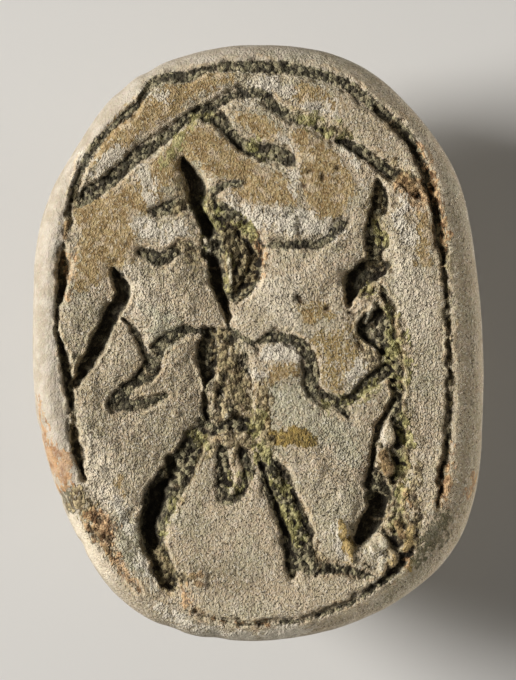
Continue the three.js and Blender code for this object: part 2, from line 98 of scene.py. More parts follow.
# Grooves: depth, how much dark dirt they hold, how crumbly their filling is, and the run.
GROOVES = {
    "border head": (0.15, 0.8, 0.5, [
        (-6.15, 4.9, .25), (-5.95, 5.6, .22), (-5.75, 6.1, .3), (-5.3, 6.75, .3), (-4.85, 7.2, .18),
        (-4.35, 7.65, .3), (-3.95, 8.05, .2), (-3.6, 8.6, .3), (-3.1, 8.85, .38), (-2.4, 8.85, .45),
        (-1.8, 9.1, .25), (-1, 9.2, .35), (0, 9.2, .45), (1, 9.15, .45), (2, 8.95, .35),
        (2.8, 8.65, .38), (3.5, 8.2, .4), (4.2, 7.65, .35)]),
    "border shoulder": (0.24, 0.9, 0.2, [
        (4.0, 7.8, .34), (4.8, 7.1, .34), (5.3, 6.35, .32), (5.62, 5.6, .3), (5.82, 4.9, .34),
        (5.95, 4.3, .35), (6.07, 3.7, .32), (6.15, 3.2, .28), (6.2, 2.7, .16)]),
    "border right": (0.14, 0.75, 0.4, [
        (6.16, 3.3, .3), (6.2, 2.7, .2), (6.25, 2.1, .15), (6.3, 1.4, .17), (6.33, .8, .14),
        (6.36, .3, .14)]),
    "border right below": (0.15, 0.75, 0.5, [
        (6.35, .6, .1), (6.37, -.2, .16), (6.4, -.9, .13), (6.41, -1.4, .16), (6.4, -2, .18),
        (6.38, -2.6, .14)]),
    "border right's end": (0.16, 0.75, 0.3, [
        (6.36, -2.7, .1), (6.32, -3.2, .2), (6.24, -3.8, .14), (6.17, -4.3, .18), (6.08, -4.9, .1),
        (5.95, -5.4, .06)]),
    "border tail": (0.1, 0.85, 0.1, [
        (5.0, -7.0, .3), (4.5, -7.65, .25), (3.9, -8.1, .2), (3.2, -8.6, .15), (2.4, -8.95, .17),
        (1.5, -9.2, .11), (.5, -9.33, .12), (0, -9.36, .13), (-.8, -9.33, .11), (-1.6, -9.15, .1),
        (-2.1, -9, .06)]),
    "border left": (0.13, 0.75, 0.3, [
        (-6.18, 4.9, .16), (-6.25, 4.5, .14), (-6.36, 4, .12), (-6.46, 3.5, .08), (-6.5, 3, .12),
        (-6.55, 2.2, .2), (-6.62, 1.6, .16), (-6.7, 1.2, .12), (-6.7, .5, .12)]),
    "border left's slot": (0.26, 0.95, 0.1, [
        (-6.5, 2.95, .1), (-6.5, 2.6, .28), (-6.5, 2.1, .3), (-6.56, 1.7, .2), (-6.62, 1.35, .05)]),
    "border left below": (0.22, 0.9, 0.2, [
        (-6.66, .3, .06), (-6.55, -.25, .22), (-6.42, -.8, .26), (-6.33, -1.3, .26), (-6.27, -1.8, .2),
        (-6.22, -2.2, .1)]),
    "border left's filling": (0.1, 0.5, 1, [(-6.25, -2.0, .2), (-6.2, -2.5, .26), (-6.15, -2.95, .22)]),
    "border left's end": (0.24, 0.9, 0.1, [
        (-6.16, -2.8, .08), (-6.1, -3.3, .2), (-6, -3.8, .24), (-5.88, -4.2, .14), (-5.8, -4.5, .04)]),
    "border lower left": (0.06, 0.3, 0.3, [
        (-5.6, -6.2, .15), (-5.1, -6.9, .12), (-4.7, -7.5, .1), (-4.2, -8, .08), (-3.9, -8.3, .06)]),
    "wing left": (0.16, 0.85, 0.5, [
        (-5.95, 4.75, .55), (-5.3, 5.15, .5), (-4.6, 5.7, .45), (-4.2, 6.1, .45), (-3.7, 6.45, .45),
        (-3.1, 6.85, .35), (-2.5, 7.35, .28), (-1.9, 7.75, .3), (-1.2, 8.05, .25), (-.5, 8.4, .25)]),
    "wing right": (0.16, 0.8, 0.5, [
        (-.6, 8.3, .4), (.1, 8.3, .35), (.5, 7.9, .35), (1.0, 7.6, .35), (1.35, 7.4, .3)]),
    "wing right's crumbs": (0.12, 0.5, 1, [
        (1.5, 7.4, .35), (2, 7.25, .55), (2.5, 7.0, .6), (2.9, 6.8, .45)]),
    "wing right below": (0.22, 0.9, 0.4, [
        (2.6, 6.75, .15), (3.0, 6.62, .34), (3.6, 6.27, .36), (4.2, 5.82, .34), (4.7, 5.45, .3),
        (5.1, 5.1, .16),
        (5.5, 4.8, .12)]),
    "crown": (0.19, 0.95, 0.4, [
        (-1.9, 7.7, .5), (-1.35, 7.5, .5), (-1, 7.1, .36), (-.62, 6.68, .38), (-.1, 6.42, .44),
        (.5, 6.33, .56), (.95, 6.2, .42), (1.15, 6.05, .2)]),
    "crown tip": (0.09, 0.7, 0.4, [(.7, 6, .2), (1.2, 5.95, .3)]),
    "profile": (0.5, 1, 0.25, [
        (-2.5, 6.1, .16), (-2.4, 5.85, .34), (-2.2, 5.5, .4), (-2.03, 5.15, .54), (-2.04, 4.75, .46),
        (-1.97, 4.4, .42), (-1.8, 4.05, .44), (-1.7, 3.7, .3)]),
    "profile's middle": (0.26, 0.95, 0.8, [
        (-1.75, 3.9, .3), (-1.64, 3.6, .46), (-1.56, 3.1, .5), (-1.5, 2.8, .4)]),
    "profile's lower end": (0.42, 1, 0.2, [
        (-1.6, 3.0, .12), (-1.5, 2.7, .34), (-1.42, 2.3, .42), (-1.36, 1.95, .36), (-1.22, 1.5, .26),
        (-1.12, 1.2, .2), (-1.05, .95, .1), (-1.02, .5, .05)]),
    "left shoulder": (0.15, 0.95, 0.5, [
        (-2.1, 4.6, .4), (-2.5, 4.62, .45), (-3, 4.5, .44), (-3.4, 4.35, .3)]),
    "right shoulder": (0.09, 0.75, 0.5, [
        (-1.8, 4.85, .35), (-1.4, 5.1, .35), (-1, 5.3, .25), (-.6, 5.3, .3)]),
    "torso": (0.22, 0.9, 0.75, [
        (-1.7, 4.9, .5), (-1.5, 4.4, .85), (-1.1, 3.85, 1.35), (-.8, 3.3, 1.72), (-.72, 2.8, 1.75),
        (-.7, 2.2, 1.4), (-.82, 1.75, .8), (-.9, 1.5, .3)]),
    "torso's far edge": (0.3, 0.95, 0.5, [
        (-.7, 3.75, .2), (-.35, 3.5, .35), (-.12, 3.1, .4), (-.12, 2.6, .4), (-.2, 2.2, .36),
        (-.45, 1.85, .25), (-.75, 1.65, .15)]),
    "left sleeve": (0.14, 0.95, 0.5, [
        (-3.95, 3, .16), (-3.65, 2.95, .38), (-3.3, 2.8, .4), (-2.9, 2.96, .36), (-2.75, 3.1, .2)]),
    "armpit": (0.1, 0.65, 0.6, [(-2.6, 3.1, .5), (-2.2, 3.1, .5), (-1.9, 2.9, .45)]),
    "staff": (0.36, 0.95, 0.15, [
        (-4.8, 2.5, .12), (-4.64, 2.15, .36), (-4.52, 1.6, .5), (-4.84, 1, .5), (-5.14, .4, .48),
        (-5.44, -.2, .48), (-5.76, -.8, .38), (-6.08, -1.3, .3)]),
    "staff brace": (0.15, 0.7, 0.2, [
        (-4.5, .8, .1), (-4.25, .6, .2), (-4, .2, .2), (-3.8, -.3, .2), (-3.6, -.8, .25)]),
    "fore arm": (0.15, 0.9, 0.5, [
        (-.9, .25, .5), (-1.5, .3, .3), (-2, .4, .15), (-2.4, .45, .3), (-2.9, .2, .35),
        (-3.3, -.1, .4), (-3.45, -.5, .5), (-3.6, -.9, .62), (-3.95, -1.2, .42), (-4.3, -1.5, .4),
        (-4.6, -1.8, .48), (-4.7, -1.95, .5)]),
    "open hand": (0.14, 0.95, 0.4, [
        (-4.75, -2, .48), (-4.2, -2.08, .38), (-3.6, -1.95, .28), (-3.1, -1.75, .14)]),
    "kilt back": (0.34, 1, 0.4, [
        (-1.6, .35, .4), (-1.68, -.1, .55), (-1.68, -.6, .6), (-1.68, -1.1, .4), (-1.76, -1.4, .15)]),
    "kilt back's lower end": (0.2, 0.85, 0.3, [
        (-1.75, -1.3, .2), (-1.78, -1.8, .14), (-1.75, -2.3, .2), (-1.7, -2.6, .15)]),
    "kilt fold": (0.09, 0.7, 0.4, [(-1.1, -1.05, .25), (-1.2, -1.5, .2), (-1.3, -2.1, .2)]),
    "kilt pleat": (0.07, 0.7, 0.4, [(-.4, -.4, .15), (-.5, -.75, .3), (-.4, -.9, .2)]),
    "kilt panel": (0.06, 0.4, 1, [(-.8, 0, .8), (-.9, -1.2, 1.3), (-1, -2.4, 1.5)]),
    "belt": (0.07, 0.8, 0.3, [(-.9, .35, .3), (-.5, .15, .2), (-.2, 0, .2), (0, -.3, .1)]),
    "hem": (0.15, 0.85, 0.5, [
        (-1.9, -2.6, .3), (-1.5, -2.9, .35), (-1.1, -2.75, .3), (-.6, -2.7, .45), (-.25, -2.85, .3)]),
    "raised arm": (0.17, 0.85, 0.4, [
        (.05, .05, .2), (.5, .2, .4), (.95, .15, .35), (1.4, -.05, .4), (1.7, -.5, .4), (1.8, -1, .5),
        (1.8, -1.5, .5), (2.2, -1.8, .4), (2.7, -2, .45), (2.95, -2.4, .2)]),
    "raised hand": (0.17, 0.85, 0.3, [
        (2.7, -1.95, .4), (3.1, -1.85, .35), (3.5, -1.5, .42), (3.9, -1.15, .46), (4.2, -.95, .4)]),
    "rear thigh": (0.22, 0.85, 0.5, [(-1.6, -2.9, .5), (-2, -3.1, .6), (-2.3, -3.6, .7), (-2.6, -4.2, .9)]),
    "rear leg": (0.2, 0.8, 0.5, [
        (-2.6, -4.2, .95), (-3.0, -4.75, 1.1), (-3.3, -5.35, 1.05), (-3.48, -5.95, .95), (-3.5, -6.4, .74),
        (-3.38, -6.9, .66), (-3.2, -7.3, .6), (-3.05, -7.7, .7), (-2.95, -8, .5)]),
    "rear leg's pocket": (0.34, 1, 0.2, [(-2.98, -3.85, .25), (-2.88, -4.15, .38), (-2.95, -4.45, .3)]),
    "rear leg's deep side": (0.6, 1, 0.3, [
        (-3.05, -4.6, .3), (-3.28, -5, .46), (-3.46, -5.5, .5), (-3.6, -6, .44), (-3.54, -6.4, .42),
        (-3.42, -6.75, .3)]),
    "rear leg's shin": (0.3, 1, 0.5, [
        (-3.62, -6.3, .5), (-3.4, -6.9, .66), (-3.22, -7.35, .64), (-3.05, -7.75, .7), (-2.95, -7.98, .5)]),
    "rear leg's shin edge": (0.34, 1, 0.4, [
        (-3.68, -6.4, .3), (-3.52, -6.95, .26), (-3.36, -7.4, .22), (-3.22, -7.7, .12)]),
    "sash": (0.11, 0.85, 0.7, [
        (-1.2, -3.6, .4), (-1.15, -4.2, .45), (-1.15, -4.8, .5), (-1.05, -5.2, .4), (-.7, -5.1, .3),
        (-.45, -4.7, .3), (-.3, -4.2, .4)]),
    "sash knot": (0.12, 0.9, 0.5, [(-.55, -3.65, .3), (-.45, -3.9, .35)]),
    "front leg": (0.12, 0.75, 0.9, [
        (.3, -4.1, .7), (.6, -4.8, .85), (.95, -5.5, .9), (1.25, -6.2, .85), (1.5, -6.9, .8),
        (1.6, -7.3, .6)]),
    "front leg's left edge": (0.2, 0.9, 0.3, [
        (.1, -4, .12), (.3, -4.6, .14), (.6, -5.4, .14), (.88, -6.2, .18), (1, -6.8, .28), (1.1, -7.3, .4),
        (1.15, -7.7, .25)]),
    "front leg's right edge": (0.15, 0.8, 0.2, [
        (.6, -4, .2), (.9, -4.3, .2), (1.2, -5, .15), (1.45, -5.6, .2), (1.7, -6.3, .3)]),
    "foot": (0.12, 0.75, 0.7, [
        (1.3, -7.4, .4), (1.8, -7.5, .5), (2.4, -7.5, .4), (2.9, -7.55, .3), (3.4, -7.7, .3),
        (3.8, -7.8, .15)]),
    "cobra crest": (0.26, 0.95, 0.5, [
        (3.95, 5.4, .1), (4.05, 5.0, .4), (4.05, 4.6, .55), (3.88, 4.2, .35), (3.85, 3.75, .45),
        (3.95, 3.4, .6),
        (3.88, 3.0, .4), (3.92, 2.7, .45)]),
    "cobra head": (0.46, 1, 0.4, [
        (4.28, 2.58, .3), (4.0, 2.48, .56), (3.62, 2.36, .74), (3.32, 2.14, .68), (3.14, 1.75, .46),
        (3.02, 1.35, .14)]),
    "cobra jaw": (0.15, 0.8, 0.3, [(3.7, 1.75, .4), (3.4, 1.6, .2)]),
    "cobra neck": (0.15, 0.7, 0.9, [
        (4.1, 1.8, .2), (4.3, 1.4, .25), (4.4, 1, .25), (4.2, .7, .5), (4.3, .3, .5), (4.4, -.1, .5),
        (4.4, -.6, .6), (4.6, -1, .5)]),
    "cobra hood": (0.3, 1, 0.3, [
        (4, 1.05, .25), (3.75, .75, .5), (3.6, .4, .55), (3.9, .15, .5), (4.15, -.25, .25)]),
    "cobra body": (0.17, 0.8, 0.6, [
        (4.5, -1.1, .3), (4.65, -1.6, .35), (4.6, -2.1, .35), (4.6, -2.6, .3), (4.7, -3.1, .35),
        (4.65, -3.7, .35), (4.75, -4.2, .3), (4.5, -4.5, .3)]),
    "cobra belly": (0.22, 0.95, 0.1, [
        (4.52, -1.9, .16), (4.3, -2.3, .16), (4.05, -2.75, .2), (3.9, -3.2, .16), (3.83, -3.7, .16),
        (3.76, -4.3, .18), (3.7, -4.7, .3)]),
    "cobra coil's top": (0.28, 0.95, 0.6, [
        (3.85, -4.3, .3), (3.98, -4.7, .6), (4.02, -5.05, .7), (4.0, -5.4, .6)]),
    "cobra coil": (0.52, 1, 0.45, [
        (4.02, -5.25, .36), (3.94, -5.6, .58), (3.78, -5.92, .7), (3.56, -6.25, .54), (3.32, -6.6, .26)]),
    "cobra tail": (0.09, 0.6, 0.9, [
        (4.4, -4.9, .5), (4.6, -5.6, .4), (4.7, -6.3, .5), (4.9, -6.9, .4), (4.5, -7.5, .3)]),
    "cobra tail's curl": (0.09, 0.8, 0.4, [(4.1, -6.2, .15), (4.45, -6.5, .2), (4.6, -6.9, .15)]),
    "rod": (0.09, 0.8, 0.5, [
        (.15, 3.2, .15), (.5, 3.25, .25), (1, 3.25, .3), (1.5, 3.3, .3), (2, 3.3, .3), (2.4, 3.55, .3),
        (2.7, 3.9, .4), (2.9, 4, .2)]),
    "nick by the rod": (0.06, 0.5, 0.2, [(1.35, 1.5, .2), (1.6, 1.45, .15), (2, 1.5, .1)]),
}
# What lies on the face: how wide each kind's edge fades, and its runs.
PATCHES = {
    # Patches of the smooth tan skin that has not weathered away.
    "skin": (0.3, [
        [(-5.8, 4.5, .8), (-5.2, 4.2, 1.6), (-5, 3.4, 1.9), (-5.5, 2.6, 1.1), (-5.9, 2.0, .6)],
        [(-4.6, 5.1, .8), (-4.1, 4.6, .9), (-3.5, 4.9, .6)],
        [(-5.5, 5.9, .4), (-5.1, 6.4, .7), (-4.2, 7.3, 1.0), (-3, 8.1, 1.0), (-1.8, 8.65, .6),
         (-.9, 8.8, .4)],
        [(-3.7, 5.2, .8), (-2.8, 6.0, 1.0), (-2.1, 6.7, 1.1), (-1.4, 6.2, 1.3), (-.6, 5.6, 1.2),
         (.4, 5.1, 1.2), (1, 4.9, .9)],
        [(-1.7, 7.1, .3), (-1.9, 6.6, .6)],
        [(.9, 8.3, .3), (1.5, 8.3, .6), (2.1, 8.2, .5), (2.6, 7.8, .45)],
        [(-.5, 7.5, .5), (.1, 7.3, .7), (.6, 7.0, .6)],
        [(1.2, 6.9, .5), (1.7, 6.6, .9), (2, 5.9, 1.5), (2.3, 5.1, 1.7), (2.1, 4.4, .8)],
        [(5.5, 4.3, .35), (5.5, 3.5, .5), (5.6, 2.7, .3)],
        [(1.45, 1.0, .25), (1.7, .8, .35), (2.1, .85, .2)],
        [(0, -1.65, .35), (.4, -1.25, .4), (.75, -.95, .6), (1.15, -.85, .5)],
        [(-4.6, -4.6, .35), (-4.5, -5.0, .4)],
    ]),
    # A thin brownish yellow film.
    "film": (0.3, [
        [(1.4, 1.2, .3), (1.8, 1.0, .6), (2.3, .9, .4)],
        [(2.0, .1, .5), (2.5, 0, .9), (2.8, -.6, 1.3), (2.6, -1.1, .9)],
        [(3.0, .6, .4), (3.3, .1, .4)],
        [(5.3, 3.6, .5), (5.5, 2.7, .5)],
        [(-1.3, -1.0, .5), (-.7, -.9, .5), (-.4, -1.6, .4)],
        [(.1, -1.6, .3), (.3, -2.6, .3)],
    ]),
    # A pale greenish bloom.
    "bloom": (0.5, [
        [(.6, -1.7, .9), (1.2, -2.2, 1.5), (1.7, -2.7, 1.1)],
        [(.5, -2.6, .6), (.4, -3.5, .8)],
        [(-4.6, -5.8, .8), (-4.2, -6.6, 1.2), (-3.9, -7.5, .8)],
        [(-3.5, 1.0, .8), (-3.0, .2, .8)],
        [(2.6, -3.0, .8), (3.2, -3.9, .6)],
    ]),
    # Greyer stone: partly dirt in its grain, partly painted shade on carved slopes that turn away from the
    # light.
    "dull": (0.6, [
        [(-2.5, .4, .8), (-2.4, -.8, 1.1), (-2.5, -2.0, 1.4), (-3.1, -3.2, 1.6), (-4.2, -3.8, 1.2)],
        [(-5.9, 1.0, .7), (-5.6, 0, .9), (-5.3, -2.6, 1.0)],
        [(3.2, -2.2, .6), (3.9, -1.8, .5)],
        [(-1.9, -5.2, .5), (-2.2, -6.4, .6)], [(-2.0, -3.9, .7), (-2.1, -4.7, .6)],
        [(-2.0, -7.3, .8), (-1.2, -7.7, 1.0), (-.4, -7.9, .8)],
        [(-2.7, 5.4, .5), (-2.6, 4.9, .7)], [(-2.5, 3.7, .8), (-2.4, 2.8, 1.0), (-2.1, 1.7, .9),
         (-1.9, 1.0, .6)],
        [(-4.3, -1.0, .9), (-3.6, -1.6, 1.3), (-3.1, -1.3, .8)],
        [(-1.4, 7.0, .8), (-.6, 7.3, .8)], [(1.4, 6.5, .5), (3.4, 7.3, .8), (4.3, 6.4, .8)],
        [(6.5, 4.4, .3), (6.7, 2.0, .7), (6.75, 0, .8), (6.75, -3.0, .9), (6.6, -5.0, 1.0), (6.0, -6.4, .8),
         (4.4, -8.2, .4)],
        [(-4.5, -8.0, .5), (-3.9, -8.5, .7), (-3.0, -9.1, .7), (-1.8, -9.5, .5)],
    ]),
    # Paler stone: partly cleaner, partly painted light on carved slopes that face the light.
    "pale": (0.6, [
        [(-4.3, 2.2, .8), (-3.9, 1.5, 1.2), (-3.5, .8, .8)],
        [(.1, 1.8, .9), (.8, 1.5, 1.4), (.9, .6, .9)],
        [(5.0, 3.0, .7), (5.2, 1.6, 1.3), (5.3, .3, .9)],
        [(-5.7, -3.6, .9), (-5.2, -4.5, 1.5), (-4.9, -5.2, 1.1), (-4.6, -5.9, .7)],
        [(-6.2, -5.9, .6), (-5.7, -6.8, .7), (-5.1, -7.6, .5)],
    ]),
    # Where the face has weathered roughest.
    "coarse": (0.6, [
        [(-5.6, 1.5, 1.2), (-5.2, -.5, 1.8), (-4.8, -2.8, 2.4), (-4.6, -5.2, 2.0), (-4.4, -7.0, 1.4)],
        [(-3.4, 2.2, 1.8), (-2.8, 1.2, 2.0), (-2.6, -.8, 1.6), (-2.6, -2.4, 1.4)],
        [(.3, 4.2, 1.0), (1.5, 3.8, 1.0), (2.6, 3.3, .8)],
        [(4.9, 4.6, 1.0), (5.0, 2.5, 1.0), (5.2, 0, .9), (5.5, -3, 1.0)],
        [(2.2, -3.4, 1.6), (2.7, -5.0, 1.6)], [(2.4, 2.2, 1.2), (1.2, 1.6, 1.2)],
        [(-3.5, 8.0, 1.0), (-1.0, 8.6, 1.0), (1.5, 8.2, 1.2)],
    ]),
    # White crust, broken off in crumbs.
    "crust": (0.3, [
        [(-.4, 8.2, .4), (.3, 8.6, .5), (.9, 8.4, .5)],
        [(1.6, 7.7, .4), (2.3, 8.0, .4)],
        [(.8, 4.2, .8), (1.6, 3.9, .9), (2.6, 3.7, .5)],
        [(-.9, 4.6, .5), (-.2, 4.2, .6), (.6, 4.3, .7)],
        [(1.3, 5.9, .3), (1.2, 5.3, .25), (1.3, 4.8, .2)],
        [(-3.9, 3.9, .6), (-3.2, 3.6, .6), (-2.5, 3.8, .5)],
        [(.3, -.4, .5), (.9, -.25, .7), (1.3, -.5, .5)],
        [(-.3, -1.0, .35), (.1, -1.1, .4)],
        [(3.1, -1.2, .5), (3.5, -.8, .5), (3.9, -.2, .4)],
        [(5.0, 5.0, .5), (4.8, 4.3, .5), (5.1, 3.4, .5)],
        [(4.2, -2.9, .25), (4.15, -3.5, .3)],
        [(3.7, -6.9, .3), (4.1, -7.2, .4)], [(2.6, -6.1, .25), (2.74, -6.6, .3), (2.85, -7.1, .25)],
        [(-5.7, 6.2, .3), (-5.9, 5.6, .4)],
        [(-4.7, -5.3, .4), (-4.35, -6.1, .5)], [(-3.9, -7.2, .4), (-3.5, -8.0, .35)],
        [(-4.05, 6.0, .3), (-3.75, 5.5, .45), (-3.65, 4.95, .4), (-3.5, 4.6, .25)],
        [(-5.6, 5.6, .4), (-5.1, 6.0, .35), (-4.6, 6.4, .25)],
        [(-3.7, 8.4, .3), (-3.1, 8.2, .35)], [(1.9, 7.9, .3), (2.5, 7.6, .35)],
        [(.8, 6.8, .3), (1.2, 6.5, .35)], [(2.9, 6.4, .3), (3.2, 5.9, .35)],
        [(-3.2, -8.9, .4), (-1.8, -9.5, .4), (-.4, -9.75, .35), (1.5, -9.65, .35)],
    ]),
    # Ochre crusts, brighter yellow than the skin.
    "ochre": (0.2, [
        [(.32, -2.6, .1), (.36, -2.9, .22), (.5, -3.12, .42), (.8, -3.24, .36), (1.15, -3.08, .6),
         (1.5, -3.18, .52),
         (1.75, -3.34, .26)],
        [(2.78, -6.0, .24), (2.9, -6.3, .34)], [(2.98, -6.6, .3), (3.02, -6.85, .4)],
        [(3.12, -7.1, .3), (3.1, -7.3, .26)],
        [(5.04, -6.2, .3), (5.04, -6.7, .36), (4.88, -6.95, .25), (4.5, -7.3, .36)],
        [(5.2, -7.15, .2), (5.0, -7.5, .2)],
    ]),
    # Yellow-green crumbs that cling in the engraving.
    "olive": (0.3, [
        [(-1.75, 4.7, .4), (-1.5, 4.3, .5), (-1.35, 4.0, .4)],
        [(-1.0, 4.3, .18), (-.6, 4.0, .24), (-.15, 3.55, .14)],
        [(-1.78, 3.6, .15), (-1.75, 3.25, .22)],
        [(-1.0, 3.0, .1), (-.95, 2.3, .2), (-1.0, 1.65, .25)],
        [(4.4, 1.1, .4), (4.55, .6, .55), (4.65, 0, .7), (4.7, -.7, .75), (4.75, -1.3, .5)],
        [(4.9, -2.3, .25), (4.9, -3.2, .4), (4.85, -4.0, .35), (4.75, -4.9, .35), (4.6, -5.6, .35),
         (4.5, -6.4, .3)],
        [(.7, -4.7, .5), (1.1, -5.7, .6), (1.4, -6.6, .4)],
        [(1.2, 7.7, .2), (1.6, 7.45, .5), (2.1, 7.35, .6), (2.6, 7.1, .55), (3, 6.9, .4)],
        [(-.2, 6.6, .3), (.3, 6.25, .4)],
        [(-2.66, -5.2, .12), (-3.04, -5.9, .14), (-3.14, -6.4, .14)],
        [(-.1, -2.4, .6), (.1, -3.0, .5), (.1, -3.7, .4)],
        [(-2.3, -2.9, .2), (-1.9, -3.3, .4)],
        [(2.3, -2.1, .3), (3.3, -1.9, .25), (3.9, -1.4, .3)],
        [(-.9, -4.2, .3), (-.85, -4.9, .35), (-.5, -4.5, .3)],
        [(-3.1, 5.9, .3), (-2.3, 7.2, .3), (-1.6, 7.5, .4)],
        [(3.9, 3.9, .15), (4.1, 3.4, .2)], [(3.5, 1.75, .2), (3.75, 1.85, .25)],
    ]),
    # Orange iron stains.
    "stain": (0.3, [
        [(-7.4, -1.8, .12), (-7.25, -2.6, .18), (-6.95, -3.6, .45), (-6.62, -4.1, .75), (-6.45, -4.7, .5)],
        [(-5.6, -5.75, .5), (-5.15, -5.95, .9), (-5.0, -6.45, .65), (-4.85, -6.95, .35), (-4.6, -7.4, .25),
         (-4.3, -7.85, .2), (-4.05, -8.15, .2)],
        [(-2.5, -8.25, .3), (-2.4, -8.6, .4), (-2.2, -8.9, .3)],
        [(-1.9, -9.05, .12), (-.9, -9.32, .1), (.3, -9.36, .1)],
        [(6.45, -3.4, .15), (6.4, -4.0, .2), (6.28, -4.6, .22), (6.15, -5.3, .25)],
        [(5.45, 6.6, .15), (5.8, 5.6, .15), (6.2, 4.0, .15), (6.3, 3.3, .12)],
        [(4.8, 5.3, .5), (5.3, 5.0, .6), (5.5, 4.5, .3)],
        [(4.8, -4.7, .2), (4.9, -5.4, .25)], [(5.1, -6.9, .2), (4.8, -7.45, .2)],
        [(7.2, -4.4, .15), (7.1, -5.0, .15)],
        [(-.05, 3.6, .1), (.15, 3.0, .14), (.15, 2.3, .1)],
        [(-6.3, 2.9, .2), (-6.28, 2.2, .22), (-6.3, 1.6, .15)],
    ]),
    # Heaps of crumbs, coarser than the filling of the grooves.
    "rubble": (0.3, [
        [(-1.5, 4.6, .4), (-1.2, 4.2, .6), (-.65, 3.5, 1.0), (-.45, 2.6, 1.1), (-.75, 1.9, .7),
         (-1, 1.4, .3)],
        [(-1.1, .1, .6), (-1.0, -.5, 1.0), (-.9, -1.4, 1.3), (-.8, -2.4, 1.6), (-.6, -3.2, 1.2)],
        [(.2, -1.6, .6), (.1, -2.4, .7), (.2, -3.6, .5)],
        [(4.2, 1.3, .5), (4.4, .4, 1.0), (4.6, -.7, 1.0), (4.7, -1.6, .6)],
        [(3.2, .2, .4), (3.6, -.2, .5), (4.0, -.9, .5)],
        [(4.8, -2.3, .5), (4.8, -3.6, .6), (4.5, -4.8, .9), (4.6, -5.8, .9), (4.8, -6.8, .9),
         (4.3, -7.5, .6)],
        [(4.3, -3.6, .4), (4.2, -4.3, .5)],
        [(5.35, -4.0, .2), (5.2, -5.0, .35), (5.3, -6.0, .35)],
        [(6.35, -3.5, .25), (6.2, -4.4, .3), (6.0, -5.4, .3)],
        [(.3, -4.0, .6), (.6, -4.7, .8), (1, -5.5, .9), (1.4, -6.7, .9), (2.2, -7.4, .5), (3.4, -7.6, .4)],
        [(-1.3, -3.1, .6), (-2.1, -3.6, .7), (-2.6, -4.5, .7), (-2.7, -5.4, .3)],
        [(-1.1, -4.0, .5), (-1.05, -4.9, .6), (-.6, -4.7, .5)],
        [(3.9, 4.9, .5), (3.9, 3.9, .6), (3.8, 3.1, .5)], [(4.2, 2.4, .3), (3.9, 2.15, .4), (3.6, 1.7, .3)],
        [(1.7, 7.3, .3), (2.2, 7.1, .5), (3, 6.9, .5)],
        [(4.3, 5.9, .3), (5.0, 5.4, .5), (5.5, 5.0, .5)],
        [(-2.5, -7.9, .3), (-2.9, -8.2, .4)],
        [(-6.1, -5.1, .6), (-5.5, -5.8, .8), (-5.1, -6.4, .7), (-4.8, -7.1, .3)],
    ]),
    # Brown crumbs; beside the profile and the armpit they are partly painted shade on the slopes into the
    # cuts.
    "umber": (0.3, [
        [(-2.55, 5.3, .3), (-2.45, 4.9, .5), (-2.7, 4.35, .3)],
        [(-2.5, 3.3, .5), (-2.2, 2.8, .5), (-2.1, 2.3, .3)],
        [(-.95, 3.7, .7), (-.6, 3.1, 1.2), (-.55, 2.4, 1.1), (-.7, 1.8, .5)],
        [(-1.2, .2, .5), (-1.15, -.5, .7), (-.85, -1.3, 1.0), (-.4, -1.9, .6)],
        [(4.1, -3.6, .4), (4.3, -4.3, .4)], [(4.6, -5.8, .3), (5.1, -6.4, .4), (4.8, -7.1, .4)],
        [(4.6, 5.5, .5), (5.2, 5.1, .7)], [(3.9, 5.0, .5), (3.9, 4.2, .4)],
        [(3.6, 2.6, .3), (4.1, 2.6, .3)], [(3.5, 1.8, .3), (3.7, 1.6, .3)],
        [(-3.35, -6.9, .5), (-3.15, -7.5, .6), (-3, -7.9, .5)], [(-6.5, 2.8, .3), (-6.55, 1.8, .3)],
        [(-6.2, -2.3, .25), (-6.1, -3.4, .25)], [(-6.15, 5.0, .3), (-6.35, 4.0, .3)],
        [(5.8, 5.6, .2), (6.15, 4.0, .25), (6.3, 2.5, .15), (6.35, 0, .15), (6.35, -2.0, .2)],
    ]),
    # Greenish grey dirt that lies on the open surface.
    "soil": (0.3, [
        [(-6.45, -4.85, .4), (-6.2, -5.15, .8), (-5.8, -5.45, .7), (-5.5, -5.7, .3)],
        [(6.2, -5.8, .4), (6.0, -6.3, .7), (5.5, -6.8, .7), (5.2, -7.2, .5)],
        [(3.6, .9, .3), (4.0, 1.2, .4)],
        [(3.8, -5.0, .5), (4.2, -5.4, .4)],
    ]),
    # Brown clods that stand up from the stone.
    "clod": (0.14, [
        [(-2.22, -7.74, .2), (-2.14, -7.76, .2)], [(-1.94, -7.7, .26), (-1.88, -7.74, .26)],
        [(-2.04, -7.98, .2), (-1.9, -8.0, .22)],
        [(-6.38, 4.0, .16), (-6.42, 3.5, .18)],
        [(-6.25, -2.4, .16), (-6.2, -2.6, .14)],
        [(4.15, -3.7, .3), (4.3, -4.2, .4)],
        [(4.6, -6.0, .2), (4.8, -6.4, .25)],
        [(-5.5, -6.15, .14), (-5.3, -6.4, .2)], [(-5.1, -6.75, .16), (-4.9, -7.1, .12)],
        [(4.8, 5.4, .4), (5.1, 5.2, .4)],
        [(-2.75, -2.3, .1), (-2.7, -2.35, .1)],
    ]),
    # Pale lumps left standing among the crumbs.
    "lump": (0.14, [
        [(4.35, -2.8, .25), (4.4, -3.2, .3)], [(3.75, -6.7, .2), (3.9, -6.9, .3)],
        [(4.2, -7.3, .25), (4.1, -7.5, .2)],
        [(-1.0, 3.0, .1), (-.95, 2.6, .14), (-.9, 2.0, .16)], [(3.6, .75, .2), (3.8, 1.15, .25)],
        [(5.85, -5.4, .15), (5.75, -5.6, .2)],
        [(-1.05, -2.4, .25), (-1.1, -2.5, .2)], [(-.9, -4.9, .2), (-.85, -5.0, .2)],
        [(2.83, -6.1, .2), (2.94, -6.34, .26)], [(3.0, -6.7, .24), (3.05, -6.85, .28)],
        [(3.1, -7.15, .22), (3.14, -7.25, .2)],
